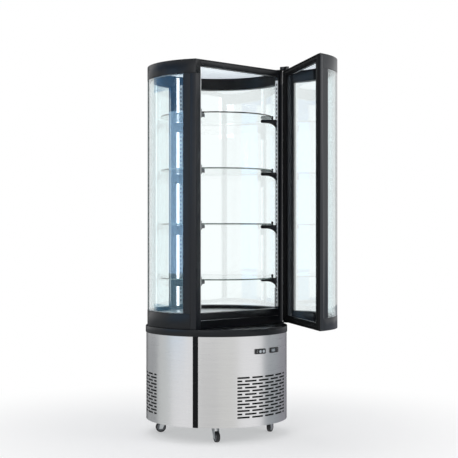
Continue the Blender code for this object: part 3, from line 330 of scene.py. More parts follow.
# Moulded polypropylene: dark grey and waxy.
dark_polypropylene = finish("dark_polypropylene", (8, 8, 8), "#2c2e31", "#36383b", (0.45, 0.55),
                            0.00005, index=1.49)
repaint(black_enamel, "compressor")
repaint(aluminium_fins, "condenser_coil", "evaporator_coil")
repaint(dark_polypropylene, "condenser_fan_housing", "evaporator_fan_housing", "drip_tray")
repaint(grey_nylon, "condenser_fan_blade", "evaporator_fan_blade")

# Base panels. Three curved sheets of satin stainless steel, brushed along their length, rolled to
# the drum's radius and punched with rows of slots, with short slots at alternate ends.
panel_radius, panel_wall = 0.337, 0.002
panel_low, panel_high = 0.075, 0.4867
panel_joint_gap = 0.0006
slot_angle, web_angle, short_angle = 10.4, 2.2, 4.1
slot_pitch, slot_first_height, slot_rows = 0.015, 0.2997, 13
control_height, control_angles, control_hole = 0.416, (-7.2, 8.5), (0.053, 0.021)
inlet_place, inlet_hole = (158.0, 0.1497), (0.039, 0.022)
hole_reach = (0.32, 0.35)
panel_places = {"base_panel_front": (-60.0, 60.0, 0.0, 4),
                "base_panel_left": (-180.0, -60.0, -120.0, 3),
                "base_panel_right": (60.0, 180.0, 120.0, 3)}
panel_sizes = {"Middle Radius": panel_radius - panel_wall / 2, "Wall": panel_wall,
               "Tall": panel_high - panel_low, "Middle Height": (panel_high + panel_low) / 2,
               "Start": 0.0, "Sweep": 1.0, "Points": 121, "Slot": panel_radius * radians(slot_angle),
               "Short Slot": panel_radius * radians(short_angle), "Slot Height": 0.008,
               "Slot Corner": 0.0028, "Punch Depth": 0.016}


def new_tree(name, sizes):
    """A Geometry Nodes tree with an input for each size and for its material."""
    tree = bpy.data.node_groups.new(name, "GeometryNodeTree")
    tree.interface.new_socket("Geometry", in_out="INPUT", socket_type="NodeSocketGeometry")
    for key, value in sizes.items():
        kind = "NodeSocketInt" if isinstance(value, int) else "NodeSocketFloat"
        tree.interface.new_socket(key, in_out="INPUT", socket_type=kind).default_value = value
    tree.interface.new_socket("Finish", in_out="INPUT", socket_type="NodeSocketMaterial")
    tree.interface.new_socket("Geometry", in_out="OUTPUT", socket_type="NodeSocketGeometry")
    return tree, add_node(tree, "NodeGroupInput", {}).outputs


def slot_punch(tree, width, height, corner, depth):
    """A rounded slot's punch: closed, upright in X and Z, and deep along Y about zero."""
    line = add_node(tree, "GeometryNodeCurvePrimitiveQuadrilateral", {
        "Width": width, "Height": height})
    line = add_node(tree, "GeometryNodeFilletCurve", {
        "Curve": line, "Radius": corner, "Count": 4, "Limit Radius": True}, mode="POLY")
    face = add_node(tree, "GeometryNodeFillCurve", {"Curve": line}, mode="NGONS")
    deep = add_node(tree, "GeometryNodeExtrudeMesh", {
        "Mesh": face, "Offset Scale": depth, "Individual": False})
    back = add_node(tree, "GeometryNodeFlipFaces", {"Mesh": face})
    whole = add_node(tree, "GeometryNodeJoinGeometry", {"Geometry": [deep, back]})
    whole = add_node(tree, "GeometryNodeMergeByDistance", {"Geometry": whole})
    half = add_node(tree, "ShaderNodeMath", {0: depth, 1: 0.5}, operation="MULTIPLY")
    return add_node(tree, "GeometryNodeTransform", {
        "Geometry": whole, "Translation": add_node(tree, "ShaderNodeCombineXYZ", {"Y": half}),
        "Rotation": (radians(90.0), 0.0, 0.0)})


def close_tree(tree, result, material):
    """Ends a tree: instances are made real and the finish is set."""
    real = add_node(tree, "GeometryNodeRealizeInstances", {"Geometry": result})
    dressed = add_node(tree, "GeometryNodeSetMaterial", {"Geometry": real, "Material": material})
    add_node(tree, "NodeGroupOutput", {"Geometry": dressed})


def grown(name, tree, values, start=None):
    """What a tree makes with these values, as a plain mesh."""
    seed = bpy.data.objects.new(name, start or bpy.data.meshes.new(name))
    scene.collection.objects.link(seed)
    modifier = seed.modifiers.new("grow", "NODES")
    modifier.node_group = tree
    for item in tree.interface.items_tree:
        if item.in_out == "INPUT" and item.name in values:
            modifier[item.identifier] = values[item.name]
    seed.update_tag()
    mesh = bpy.data.meshes.new_from_object(seed.evaluated_get(bpy.context.evaluated_depsgraph_get()))
    bpy.data.objects.remove(seed)
    return mesh


panel_tree, size = new_tree("slotted_panel", panel_sizes)
bend = add_node(panel_tree, "GeometryNodeCurveArc", {
    "Resolution": size["Points"], "Radius": size["Middle Radius"], "Start Angle": size["Start"],
    "Sweep Angle": size["Sweep"]}, mode="RADIUS")
bend = add_node(panel_tree, "GeometryNodeSetCurveNormal", {"Curve": bend}, mode="Z_UP")
strip = add_node(panel_tree, "GeometryNodeCurvePrimitiveQuadrilateral", {
    "Width": size["Wall"], "Height": size["Tall"]})
sheet = add_node(panel_tree, "GeometryNodeCurveToMesh", {
    "Curve": bend, "Profile Curve": strip, "Fill Caps": True})
sheet = add_node(panel_tree, "GeometryNodeTransform", {
    "Geometry": sheet, "Translation": add_node(panel_tree, "ShaderNodeCombineXYZ", {
        "Z": size["Middle Height"]})})
turn = add_node(panel_tree, "GeometryNodeInputNamedAttribute", {"Name": "turn"},
                data_type="FLOAT_VECTOR")
punches = []
for kind, length in (("long", size["Slot"]), ("short", size["Short Slot"])):
    wanted = add_node(panel_tree, "GeometryNodeInputNamedAttribute", {"Name": kind},
                      data_type="BOOLEAN")
    punch = slot_punch(panel_tree, length, size["Slot Height"], size["Slot Corner"],
                       size["Punch Depth"])
    row = add_node(panel_tree, "GeometryNodeInstanceOnPoints", {
        "Points": size["Geometry"], "Selection": wanted, "Instance": punch, "Rotation": turn})
    punches.append(add_node(panel_tree, "GeometryNodeRealizeInstances", {"Geometry": row}))
punched = add_node(panel_tree, "GeometryNodeMeshBoolean", {
    "Mesh 1": sheet, "Mesh 2": [*punches, size["Geometry"]]}, operation="DIFFERENCE", solver="EXACT")
close_tree(panel_tree, punched, size["Finish"])


def wedge(angle, height, wide, tall, near, far):
    """A straight block that passes through the drum's wall, as a mesh."""
    made = bmesh.new()
    bmesh.ops.create_cube(made, size=1.0)
    bmesh.ops.transform(made, verts=made.verts, matrix=spin(angle)
                        @ Matrix.Translation((0.0, -(near + far) / 2, height))
                        @ Matrix.Diagonal((wide, far - near, tall, 1.0)))
    mesh = bpy.data.meshes.new("wedge")
    made.to_mesh(mesh)
    made.free()
    return mesh


def merged(meshes):
    """Several meshes as one, with their materials kept."""
    parts = []
    for each in meshes:
        part = bpy.data.objects.new("part", each)
        scene.collection.objects.link(part)
        parts.append(part)
    with bpy.context.temp_override(active_object=parts[0], selected_editable_objects=parts):
        bpy.ops.object.join()
    mesh = parts[0].data
    bpy.data.objects.remove(parts[0])
    return mesh


def panel_seed(name, middle, full, windows):
    """The middles of a panel's slots, each with its turn and kind, and its windows' cutters."""
    places = []
    for row in range(slot_rows):
        widths = [slot_angle] * full
        widths.insert(0 if row % 2 else full, short_angle)
        at = middle - (sum(widths) + web_angle * full) / 2
        for width in widths:
            places.append((radians(at + width / 2), slot_first_height - row * slot_pitch, width))
            at += width + web_angle
    corners = [tuple(v.co) for v in windows.vertices] if windows else []
    sides = [tuple(f.vertices) for f in windows.polygons] if windows else []
    seed = bpy.data.meshes.new(name)
    middles = [(panel_radius * sin(a), -panel_radius * cos(a), z) for a, z, _ in places]
    seed.from_pydata(corners + middles, [], sides)
    turns = seed.attributes.new("turn", "FLOAT_VECTOR", "POINT")
    kinds = [(seed.attributes.new("long", "BOOLEAN", "POINT"), slot_angle),
             (seed.attributes.new("short", "BOOLEAN", "POINT"), short_angle)]
    for i, (a, z, width) in enumerate(places, len(corners)):
        turns.data[i].vector = (0.0, 0.0, a)
        for kind, wanted in kinds:
            kind.data[i].value = width == wanted
    return seed


# Satin stainless, brushed round the drum: lines drawn 1.6 mm apart, as finer ones don't show.
brushed_stainless = finish("brushed_stainless", (160, 160, 1.6), "#d6d6d8", "#dcdcdd", (0.27, 0.31),
                           0.000004, metal=1.0)
control_windows = [wedge(a, control_height, *control_hole, *hole_reach) for a in control_angles]
window_meshes = {"base_panel_front": merged(control_windows),
                 "base_panel_right": wedge(*inlet_place, *inlet_hole, *hole_reach)}
half_gap = degrees(panel_joint_gap / panel_radius) / 2
for node, (start, stop, middle, full) in panel_places.items():
    seed = panel_seed(node, middle, full, window_meshes.get(node))
    panel = grown(node + "_skin", panel_tree, {
        **panel_sizes, "Start": radians(start + half_gap - 90.0),
        "Sweep": radians(stop - start - 2 * half_gap), "Finish": brushed_stainless}, seed)
    put(node + "_skin", panel, "case", [node], sharp=25.0)

# Filter sheets. Black open-cell foam lies behind the slots of each panel and keeps dust out of
# the plant. Each sheet is cut to the rows of slots and clipped to the panel's back.


def swept(profile, start, stop, step=1.0):
    """A closed profile in radius and height, swept round the case's axis, with closed ends."""
    count = max(2, round((stop - start) / step))
    turns = [radians(start + (stop - start) * i / count) for i in range(count + 1)]
    return skin([[(r * sin(a), -r * cos(a), z) for r, z in profile] for a in turns])


def chamfered(inner, outer, low, high, ease):
    """A rectangle in radius and height with its corners taken off."""
    return [(inner + ease, low), (outer - ease, low), (outer, low + ease), (outer, high - ease),
            (outer - ease, high), (inner + ease, high), (inner, high - ease), (inner, low + ease)]


# Foam: matt black with coarse pores, drawn 3 mm wide so that they show.
filter_foam = finish("black_filter_foam", (3, 3, 3), "#08090a", "#131415", (0.85, 0.95), 0.0004,
                     index=1.4)
filter_sizes = (0.3334, 0.3346, 0.105, 0.3125, 0.0003)
filter_overlap = 1.0
for node, (start, stop, middle, full) in panel_places.items():
    half = (full * (slot_angle + web_angle) + short_angle) / 2 + filter_overlap
    put(node + "_filter", swept(chamfered(*filter_sizes), middle - half, middle + half), "case",
        (), filter_foam)

# Seam strips. Black coated steel covers over the three joints of the panels, each held by small
# countersunk screws with a hexagon socket.
# Powder coating on steel: black, satin, with the coat's fine orange peel of about 1.5 mm.
black_coat = finish("black_powder_coat", (1.5, 1.5, 1.5), "#121417", "#191c20", (0.30, 0.38), 0.00002,
                    gloss=0.22)
# Blackened steel: darker and shinier than the coat beside it.
black_screw = finish("blackened_steel", (2, 2, 2), "#1a1b1d", "#2a2b2e", (0.25, 0.38), metal=0.6)
screw_sizes = {"Head": 0.003, "Crown": 0.0025, "Socket": 0.0014, "Rise": 0.0006, "Sink": 0.0005,
               "Sides": 20}
crown_share, socket_share, sink_share = 0.82, 0.45, 0.8
screw_tree, size = new_tree("socket_screws", screw_sizes)
head = add_node(screw_tree, "GeometryNodeMeshCone", {
    "Vertices": size["Sides"], "Radius Top": size["Crown"], "Radius Bottom": size["Head"],
    "Depth": size["Rise"]})
socket = add_node(screw_tree, "GeometryNodeMeshCylinder", {
    "Vertices": 6, "Radius": size["Socket"], "Depth": size["Rise"]})
socket = add_node(screw_tree, "GeometryNodeTransform", {
    "Geometry": socket, "Translation": add_node(screw_tree, "ShaderNodeCombineXYZ", {
        "Z": size["Sink"]})})
head = add_node(screw_tree, "GeometryNodeMeshBoolean", {"Mesh 1": head, "Mesh 2": socket},
                operation="DIFFERENCE", solver="EXACT")
aim = add_node(screw_tree, "FunctionNodeAlignRotationToVector", {
    "Vector": add_node(screw_tree, "GeometryNodeInputNamedAttribute", {"Name": "facing"},
                       data_type="FLOAT_VECTOR")}, axis="Z")
heads = add_node(screw_tree, "GeometryNodeInstanceOnPoints", {
    "Points": size["Geometry"], "Instance": head, "Rotation": aim})
close_tree(screw_tree, heads, size["Finish"])


def screws(name, places, body, head_radius, rise, paint):
    """Screw heads at places, each a point and the way that it faces."""
    start = bpy.data.meshes.new(name)
    start.from_pydata([p for p, way in places], [], [])
    facing = start.attributes.new("facing", "FLOAT_VECTOR", "POINT")
    for i, (p, way) in enumerate(places):
        facing.data[i].vector = way
    heads = grown(name, screw_tree, {
        "Head": head_radius, "Crown": head_radius * crown_share, "Socket": head_radius * socket_share,
        "Rise": rise, "Sink": rise * sink_share, "Finish": paint}, start)
    return put(name, heads, body, sharp=30.0)


def rim(radius, angle, height):
    """A point on the drum, and the way out of it there."""
    out = Vector((sin(radians(angle)), -cos(radians(angle)), 0.0))
    return out * radius + Vector((0.0, 0.0, height)), out


# The same coat with a matting additive, for the strips: deep black, and almost without a sheen.
matt_coat = finish("matt_black_powder_coat", (1.5, 1.5, 1.5), "#0a0b0d", "#101113", (0.46, 0.56),
                   0.00002, gloss=0.10)
strip_front, strip_screw_heights = 0.3393, (0.11, 0.28, 0.45)
strip_angles = {"left": -60.0, "right": 60.0, "rear": 180.0}
for side in strip_angles:
    put("strip_" + side, eased("seam_strip_" + side, 0.0007), "case",
        ["seam_strip_" + side], matt_coat, sharp=0)
strip_screw_places = [rim(strip_front, a, z) for a in strip_angles.values() for z in strip_screw_heights]
screws("strip_screws", strip_screw_places, "case", head_radius=0.0028, rise=0.0008,
       paint=black_screw)

# Top ring of the base, insulated floor and deck. The ring is a coated steel angle rolled round
# the base; the foamed floor in it is skinned white; the deck over it is a loose stainless tray.
# White stoved polyester on steel: smooth, with a soft sheen.
white_liner = finish("white_liner", (18, 18, 18), "#e4e6e8", "#eceeef", (0.32, 0.40), 0.00002)
put("base_ring", eased("base_top_ring", 0.0012), "case", ["base_top_ring"],
    black_coat, sharp=0)
repaint(white_liner, "insulated_floor")
# The deck is brushed from front to back, so its lines run along Y.
brushed_deck = finish("brushed_stainless_deck", (1.6, 160, 40), "#eef1f3", "#f6f8f9", (0.28, 0.36),
                      0.00002, metal=0.5)
put("deck", eased("floor_deck", 0.0006), "case", ["floor_deck"], brushed_deck,
    sharp=0)
deck_top = 0.575
deck_screw_places = ((-0.20, -0.11), (0.20, -0.11), (-0.17, 0.20), (0.17, 0.20))
screws("deck_screws", [((x, y, deck_top), (0.0, 0.0, 1.0)) for x, y in deck_screw_places], "case",
       head_radius=0.0035, rise=0.0008, paint=zinc_plate)

# Tower frame. Black coated posts stand on the ring and carry the cap; a band, a sill and a header
# close the frame between them, and a white panel is clipped up under the cap.
# The same powder on the extruded posts, where it lies a little smoother and glossier; its paler base
# colour is painted light, a lit copy of the black coat.
post_coat_painted_lighter = finish("black_powder_coat_on_posts_painted_lighter", (1.5, 1.5, 1.5), "#181b20", "#1f2227", (0.28, 0.36),
                   0.00002, gloss=0.26)
for node, ease, paint in (("bottom_band", 0.0010, black_coat), ("door_sill", 0.0010, black_coat),
                          ("post_left", 0.0012, post_coat_painted_lighter), ("post_right", 0.0012, post_coat_painted_lighter),
                          ("post_rear", 0.0010, post_coat_painted_lighter), ("top_cap", 0.0014, black_coat),
                          ("header_rail", 0.0010, black_coat)):
    put(node + "_coated", eased(node, ease), "case", [node], paint, sharp=0)
# The same white liner under the cap, with a painted glow in its emission that stands in for the light of
# the lamp beside it.
painted_glow_liner = finish("white_liner_with_painted_glow", (18, 18, 18), "#e9ebf1", "#f0f2f6", (0.30, 0.38), 0.00002,
                   glow=("#eaf3f9", 0.70))
put("ceiling", eased("ceiling_panel", 0.0006), "case", ["ceiling_panel"], painted_glow_liner,
    sharp=0)
cap_screw_radius, cap_top = 0.316, 1.75
cap_screw_angles = (-150.0, -120.0, -90.0, 90.0, 120.0, 150.0, 180.0)
cap_screw_places = [rim(cap_screw_radius, a, cap_top)[0] for a in cap_screw_angles]
screws("cap_screws", [(place, (0.0, 0.0, 1.0)) for place in cap_screw_places],
       "case", head_radius=0.0038, rise=0.0012, paint=black_screw)
ceiling_low = 1.7410
ceiling_screw_places = ((-0.18, -0.10), (0.18, -0.10), (-0.18, 0.16), (0.18, 0.16))
screws("ceiling_screws", [((x, y, ceiling_low), (0.0, 0.0, -1.0)) for x, y in ceiling_screw_places],
       "case", head_radius=0.0035, rise=0.0008, paint=zinc_plate)

# Double glazing. Two bent panes on each side, 5 mm outside and 4 mm inside, on a slim pale spacer
# that is bonded in along the foot and the top.
outer_pane, inner_pane = (0.326, 0.331), (0.312, 0.316)
pane_low, pane_high = 0.5903, 1.6847
pane_ease = 0.0006
side_glass = {"right": (64.7036, 169.8964), "left": (184.5036, 295.2964)}
spacer_inset = 0.0005
spacer_tall = 0.003


def panes(low, high, start, stop):
    """The two panes of one double-glazed unit, as one mesh."""
    sheets = []
    for (inner, outer), paint in ((outer_pane, coated_glass), (inner_pane, plain_glass)):
        sheets.append(swept(chamfered(inner, outer, low, high, pane_ease), start, stop))
        sheets[-1].materials.append(paint)
    return merged(sheets)


def spacer(low, high, start, stop):
    """The bars between the panes, along the foot and the top."""
    inner, outer = inner_pane[1] + spacer_inset, outer_pane[0] - spacer_inset
    return merged([swept(chamfered(inner, outer, base, top, pane_ease), start, stop) for base, top in (
        (low + spacer_inset, low + spacer_tall), (high - spacer_tall, high - spacer_inset))])


def glass(name, index):
    """A smooth clear material, with its tree and its shader."""
    made = bpy.data.materials.new(name)
    made.use_nodes = True
    shader = made.node_tree.nodes["Principled BSDF"]
    for key, value in (("IOR", index), ("Transmission Weight", 1.0), ("Roughness", 0.0)):
        shader.inputs[key].default_value = value
    return made, made.node_tree, shader


def bent_glass(name, index, shades):
    """Glass whose colour goes with how far one looks along it, as facing and shade pairs."""
    made, tree, shader = glass(name, index)
    look_along = add_node(tree, "ShaderNodeLayerWeight", {"Blend": 0.5})
    cast = add_node(tree, "ShaderNodeValToRGB", {"Fac": look_along.outputs["Facing"]})
    ramp = cast.color_ramp.elements
    ramp[0].position, ramp[0].color = shades[0][0], srgb(shades[0][1])
    ramp[1].position, ramp[1].color = shades[-1][0], srgb(shades[-1][1])
    for facing, shade in shades[1:-1]:
        ramp.new(facing).color = srgb(shade)
    tree.links.new(cast.outputs["Color"], shader.inputs["Base Color"])
    return made


# Outer pane with a hard tin-oxide coat: it mirrors more than bare glass, so its index is the coat's,
# and it is dark only where one looks into its thickness.
coated_glass = bent_glass("coated_float_glass", 1.65, (
    (0.2, "#fbffff"), (0.74, "#f5feff"), (0.82, "#5c686c"), (0.95, "#2c3538")))
# Inner pane of plain float glass: clear with a faint cyan cast.
plain_glass = bent_glass("plain_float_glass", 1.52, ((0.2, "#fcffff"), (0.95, "#f2fcff")))
# Mill-finish aluminium spacer: a pale dull metal.
spacer_bar = finish("aluminium_spacer", (4, 4, 4), "#b4b9bc", "#c6cacc", (0.45, 0.6), metal=0.8)
for side, ends in side_glass.items():
    put("panes_" + side, panes(pane_low, pane_high, *ends), "case", ["glass_" + side])
    put("spacer_" + side, spacer(pane_low, pane_high, *ends), "case", (), spacer_bar)
# A black border is fired on to the outer pane beside each front post and covers the pane's bond.
# Ceramic enamel on glass: black with a soft gloss.
fired_border = finish("black_ceramic_border", (4, 4, 4), "#171a1e", "#1e2125", (0.28, 0.36), gloss=0.26)
border_sizes = (0.33105, 0.3317, 0.5906, 1.6844, 0.0001)
for side, start, stop in (("right", 64.64, 70.9), ("left", 289.1, 295.36)):
    put("border_" + side, swept(chamfered(*border_sizes), start, stop), "case", (),
        fired_border)

# Shelf rails and brackets. Zinc-plated steel strips with a column of slots are riveted to the
# posts, and black flat arms, each with an upturned stop at its root, are welded to them.
rail_low, rail_high = 0.600, 1.700
rail_middle = (rail_low + rail_high) / 2
rail_pitch = 0.020
rail_sizes = {"Width": 0.016, "Depth": 0.0027, "Tall": rail_high - rail_low, "Slot Width": 0.0076,
              "Slot Height": 0.0112, "Slot Corner": 0.0018, "Slot Pitch": rail_pitch, "Slots": 54,
              "First Slot": rail_low + rail_pitch - rail_middle, "Punch Depth": 0.011}
shelf_heights = (0.743, 0.9995, 1.256, 1.5125)
shelf_radius = 0.268
arm_tip_radius, arm_tip_long, arm_tall, arm_half = 0.219, 0.008, 0.017, 0.0015
arm_drop, root_sink = 0.0033, 0.001
gusset_reach, gusset_tall = 0.050, 0.054
gusset_rise = gusset_tall - arm_tall
stop_gap, stop_wide, stop_rise, stop_ease = 0.004, 0.010, 0.0175, 0.002
arc_steps = 12
rail_tree, size = new_tree("slotted_rail", rail_sizes)
rail_blank = add_node(rail_tree, "GeometryNodeMeshCube", {
    "Size": add_node(rail_tree, "ShaderNodeCombineXYZ", {
        "X": size["Width"], "Y": size["Depth"], "Z": size["Tall"]})})
rail_points = add_node(rail_tree, "GeometryNodeMeshLine", {
    "Count": size["Slots"],
    "Start Location": add_node(rail_tree, "ShaderNodeCombineXYZ", {"Z": size["First Slot"]}),
    "Offset": add_node(rail_tree, "ShaderNodeCombineXYZ", {"Z": size["Slot Pitch"]})})
rail_punch = slot_punch(rail_tree, *[size[key] for key in (
    "Slot Width", "Slot Height", "Slot Corner", "Punch Depth")])
rail_punches = add_node(rail_tree, "GeometryNodeRealizeInstances", {
    "Geometry": add_node(rail_tree, "GeometryNodeInstanceOnPoints", {
        "Points": rail_points, "Instance": rail_punch})})
rail_cut = add_node(rail_tree, "GeometryNodeMeshBoolean", {
    "Mesh 1": rail_blank, "Mesh 2": rail_punches}, operation="DIFFERENCE", solver="EXACT")
close_tree(rail_tree, rail_cut, size["Finish"])


def bracket(face_radius, top):
    """One arm in the plane X = 0 with its root toward -Y: gusset, round tip and stop."""
    tip = face_radius - arm_tip_radius - arm_tip_long
    stop = face_radius - shelf_radius - stop_gap
    outline = [(-root_sink, top), (-root_sink, top - gusset_tall)]
    for k in range(1, arc_steps + 1):
        t = radians(90.0 * k / arc_steps)
        outline.append((gusset_reach * (1 - cos(t)), top - gusset_tall + gusset_rise * sin(t)))
    for k in range(arc_steps + 1):
        t = radians(180.0 * k / arc_steps - 90.0)
        outline.append((tip + arm_tip_long * cos(t), top + arm_tall / 2 * (sin(t) - 1)))
    outline += [(stop, top), (stop, top + stop_rise - stop_ease), (stop - stop_ease, top + stop_rise),
                (stop - stop_wide + stop_ease, top + stop_rise),
                (stop - stop_wide, top + stop_rise - stop_ease), (stop - stop_wide, top)]
    return skin([[(x, s - face_radius, z) for s, z in outline] for x in (-arm_half, arm_half)])


# Zinc flake paint on the rails: a light silver grey, satin.
silver_paint = finish("zinc_flake_paint", (3, 3, 3), "#e8ebee", "#f3f5f6", (0.38, 0.50), metal=0.4)
rail_x = 0.25622
rail_y = -0.157
rear_back = 0.301
side_face = hypot(rail_x - rail_sizes["Depth"], rail_y)
side_angle = degrees(acos(-rail_y / side_face))
rear_angle = 173.6
for side, turn, place, face_radius, angle in (
        ("right", -90.0, (rail_x, rail_y, 0.0), side_face, side_angle),
        ("left", 90.0, (-rail_x, rail_y, 0.0), side_face, -side_angle),
        ("rear", 0.0, (0.0, rear_back, 0.0), rear_back - rail_sizes["Depth"], rear_angle)):
    strip = grown("rail_" + side, rail_tree, {**rail_sizes, "Finish": silver_paint})
    strip.transform(Matrix.Translation(place) @ spin(turn)
                    @ Matrix.Translation((0.0, -rail_sizes["Depth"] / 2, rail_middle)))
    if side == "rear":
        strip.transform(spin(angle - 180.0))
    put("rail_" + side, strip, "case", ["shelf_rail_" + side], sharp=30.0)
    arms = []
    for height in shelf_heights:
        arm = bracket(face_radius, height - arm_drop)
        arm.transform(spin(angle))
        arms.append(arm)
    put("brackets_" + side, merged(arms), "case", (), black_coat)
# The rear arms also carry a bent plate each, which reaches round in front of the lamp.
plate_walls, plate_low, plate_high, plate_ease = (0.2862, 0.2882), -0.0515, -0.0036, 0.0004
plate_angles = (172.4, 183.6)
plates = [swept(chamfered(*plate_walls, height + plate_low, height + plate_high, plate_ease),
                *plate_angles) for height in shelf_heights]
put("plates_rear", merged(plates), "case", (), black_coat)

# Glass shelves. Four round plates of 6 mm toughened glass, ground and polished at the edge, lie
# loose on the arms, inside the stops.
shelf_half, shelf_ease, shelf_sides = 0.003, 0.0008, 180
# Toughened float glass: clear through the plate, and deep grey-green along it, at its edge.
shelf_glass, tree, shader = glass("toughened_float_glass", 1.52)
shader.inputs["Base Color"].default_value = srgb("#fbfefe")
soak = add_node(tree, "ShaderNodeVolumeAbsorption", {"Color": srgb("#86a39d"), "Density": 4.6})
tree.links.new(soak.outputs["Volume"], tree.nodes["Material Output"].inputs["Volume"])
turns = [2 * pi * i / shelf_sides for i in range(shelf_sides)]
for number, height in enumerate(shelf_heights, 1):
    shelf = skin([[(r * cos(a), r * sin(a), height + z) for a in turns] for r, z in (
        (shelf_radius - shelf_ease, -shelf_half), (shelf_radius, shelf_ease - shelf_half),
        (shelf_radius, shelf_half - shelf_ease), (shelf_radius - shelf_ease, shelf_half))])
    put("shelf_%d" % number, shelf, "case", ["glass_shelf_%d" % number], shelf_glass)

# Probe lead. A thin black PVC-sheathed lead of the temperature probe runs up beside the right
# rail, from the sill to the foot of the lowest arm.
# Soft PVC: black with a dull sheen.
black_pvc = finish("black_pvc", (3, 3, 10), "#17181a", "#212225", (0.45, 0.55), index=1.53)
repaint(black_pvc, "sensor_lead")

# Lamp. An aluminium channel with a row of light-emitting diodes behind an opal snap-in cover
# stands on the rear post.
lamp_angle = 178.25
lamp_low, lamp_high = 0.592, 1.735
# Opal polycarbonate over lit diodes: an even bright white.
opal_cover = finish("lit_opal_polycarbonate", (60, 60, 19), "#f4f8fb", "#ffffff", (0.28, 0.36),
                    index=1.58, glow=("#f6fbff", 2.2))
# Anodised aluminium: a pale satin metal drawn along Z.
anodised_aluminium = finish("anodised_aluminium", (2, 2, 120), "#b9bcbf", "#cbced0", (0.30, 0.40),
                            metal=1.0)


def upright(outline, low, high):
    """An outline in plan as a closed upright bar."""
    return skin([[(x, y, z) for x, y in outline] for z in (low, high)])


channel_half = ((0.0116, 0.0), (0.0116, 0.0040), (0.0100, 0.0086), (0.0080, 0.0086), (0.0080, 0.0014))
channel = upright([(-x, rear_back - y) for x, y in channel_half]
                  + [(x, rear_back - y) for x, y in channel_half[::-1]], lamp_low, lamp_high)
cover_half, cover_middle, cover_back, cover_inset = 0.0078, 0.0060, 0.0020, 0.003
cover = upright([(cover_half * cos(radians(a)), rear_back - cover_middle * (1 + sin(radians(a))))
                 for a in range(0, 181, 12)]
                + [(x, rear_back - cover_back) for x in (-cover_half, cover_half)],
                lamp_low + cover_inset, lamp_high - cover_inset)
for name, part, paint, nodes in (("lamp_channel", channel, anodised_aluminium, ()),
                                 ("lamp_cover", cover, opal_cover, ["led_lamp"])):
    part.transform(spin(lamp_angle - 180.0))
    put(name, part, "case", nodes, paint)

# Controls. Two moulded units snap into the front panel: a switch plate with a rocker and two lit
# push buttons, and a thermostat with a smoked window and two keys.
# Moulded ABS: black, with a fine spark-eroded texture of about 0.8 mm.
black_abs = finish("black_abs", (0.8, 0.8, 0.8), "#1a1b1d", "#232427", (0.40, 0.52), 0.00003,
                   index=1.54)
# Frosted polycarbonate caps: milky white.
frosted_cap = finish("frosted_polycarbonate", (5, 5, 5), "#b3bcc2", "#c9d0d4", (0.30, 0.40), index=1.58)
# Smoked acrylic: a dark grey-blue gloss over the digits.
smoked_acrylic = finish("smoked_acrylic", (14, 14, 14), "#6a747b", "#7c868d", (0.10, 0.16), index=1.49)
printed_white = finish("printed_white", (4, 4, 4), "#d6dadc", "#e6e9ea", (0.45, 0.55))
for node, body in (("control_plate", "case"), ("thermostat", "case"), ("power_switch", "switch"),
                   ("key_up", "up_key"), ("key_down", "down_key"), ("power_inlet", "case")):
    put(node + "_moulded", eased(node, 0.0005), body, [node], black_abs, sharp=0)
control_front = 0.3413
plate_turn, thermostat_turn = [spin(a) for a in control_angles]
mark_half = 0.0002


def bar(x, z, wide, tall):
    """The corners of a flat bar about a centre."""
    return [(x - wide / 2, z - tall / 2), (x + wide / 2, z - tall / 2), (x + wide / 2, z + tall / 2),
            (x - wide / 2, z + tall / 2)]


def on_thermostat(points, x, z, front):
    """A thin flat piece in X and Z at a place on the thermostat's face, raised a little."""
    mesh = skin([[(px, y, pz) for px, pz in points] for y in (-mark_half, mark_half)])
    mesh.transform(thermostat_turn @ Matrix.Translation((x, -front, control_height + z)))
    return mesh


button_profile = ((0.0001, 0.0025), (0.0040, 0.0024), (0.0066, 0.0019), (0.0076, 0.0010),
                  (0.0080, 0.0), (0.0080, -0.007), (0.0001, -0.007))
cap_rim, cap_sides = 0.0060, 40
for node, body, x in (("light_button", "light_push", -0.0025),
                      ("defrost_button", "defrost_push", 0.0165)):
    cap = turned(button_profile, cap_sides)
    cap.materials.append(frosted_cap)
    cap.materials.append(black_abs)
    for side in cap.polygons:
        side.material_index = 1 if hypot(*side.center[:2]) > cap_rim else 0
    cap.transform(plate_turn @ Matrix.Translation((x, -control_front, control_height))
                  @ spin(90.0, "X"))
    put(node + "_cap", cap, body, [node])
window_x, window_wide, window_tall = -0.010, 0.0296, 0.0136
window_sink, digit_sink = 0.0006, 0.0004
window = on_thermostat(bar(0.0, 0.0, window_wide, window_tall), window_x, 0.0,
                       control_front - window_sink)
put("display_window", window, "case", (), smoked_acrylic)
stroke_wide, across, along, digit_pitch = 0.0008, 0.0034, 0.0032, 0.0080
segments = []
for digit in (-digit_pitch, 0.0, digit_pitch):
    bars = [bar(0.0, z, across, stroke_wide) for z in (0.0042, 0.0, -0.0042)]
    bars += [bar(x, z, stroke_wide, along) for z in (0.0021, -0.0021) for x in (-0.0021, 0.0021)]
    segments += [on_thermostat(b, window_x + digit, 0.0, control_front - digit_sink) for b in bars]
put("display_segments", merged(segments), "case", (), printed_white)
arrow = ((-0.0016, -0.0010), (0.0016, -0.0010), (0.0, 0.0014))
key_x, key_z, key_rise = 0.0190, 0.0042, 0.0012
for name, body, way in (("key_up_mark", "up_key", 1.0), ("key_down_mark", "down_key", -1.0)):
    mark = on_thermostat([(x, z * way) for x, z in arrow], key_x, key_z * way, control_front + key_rise)
    put(name, mark, body, (), printed_white)
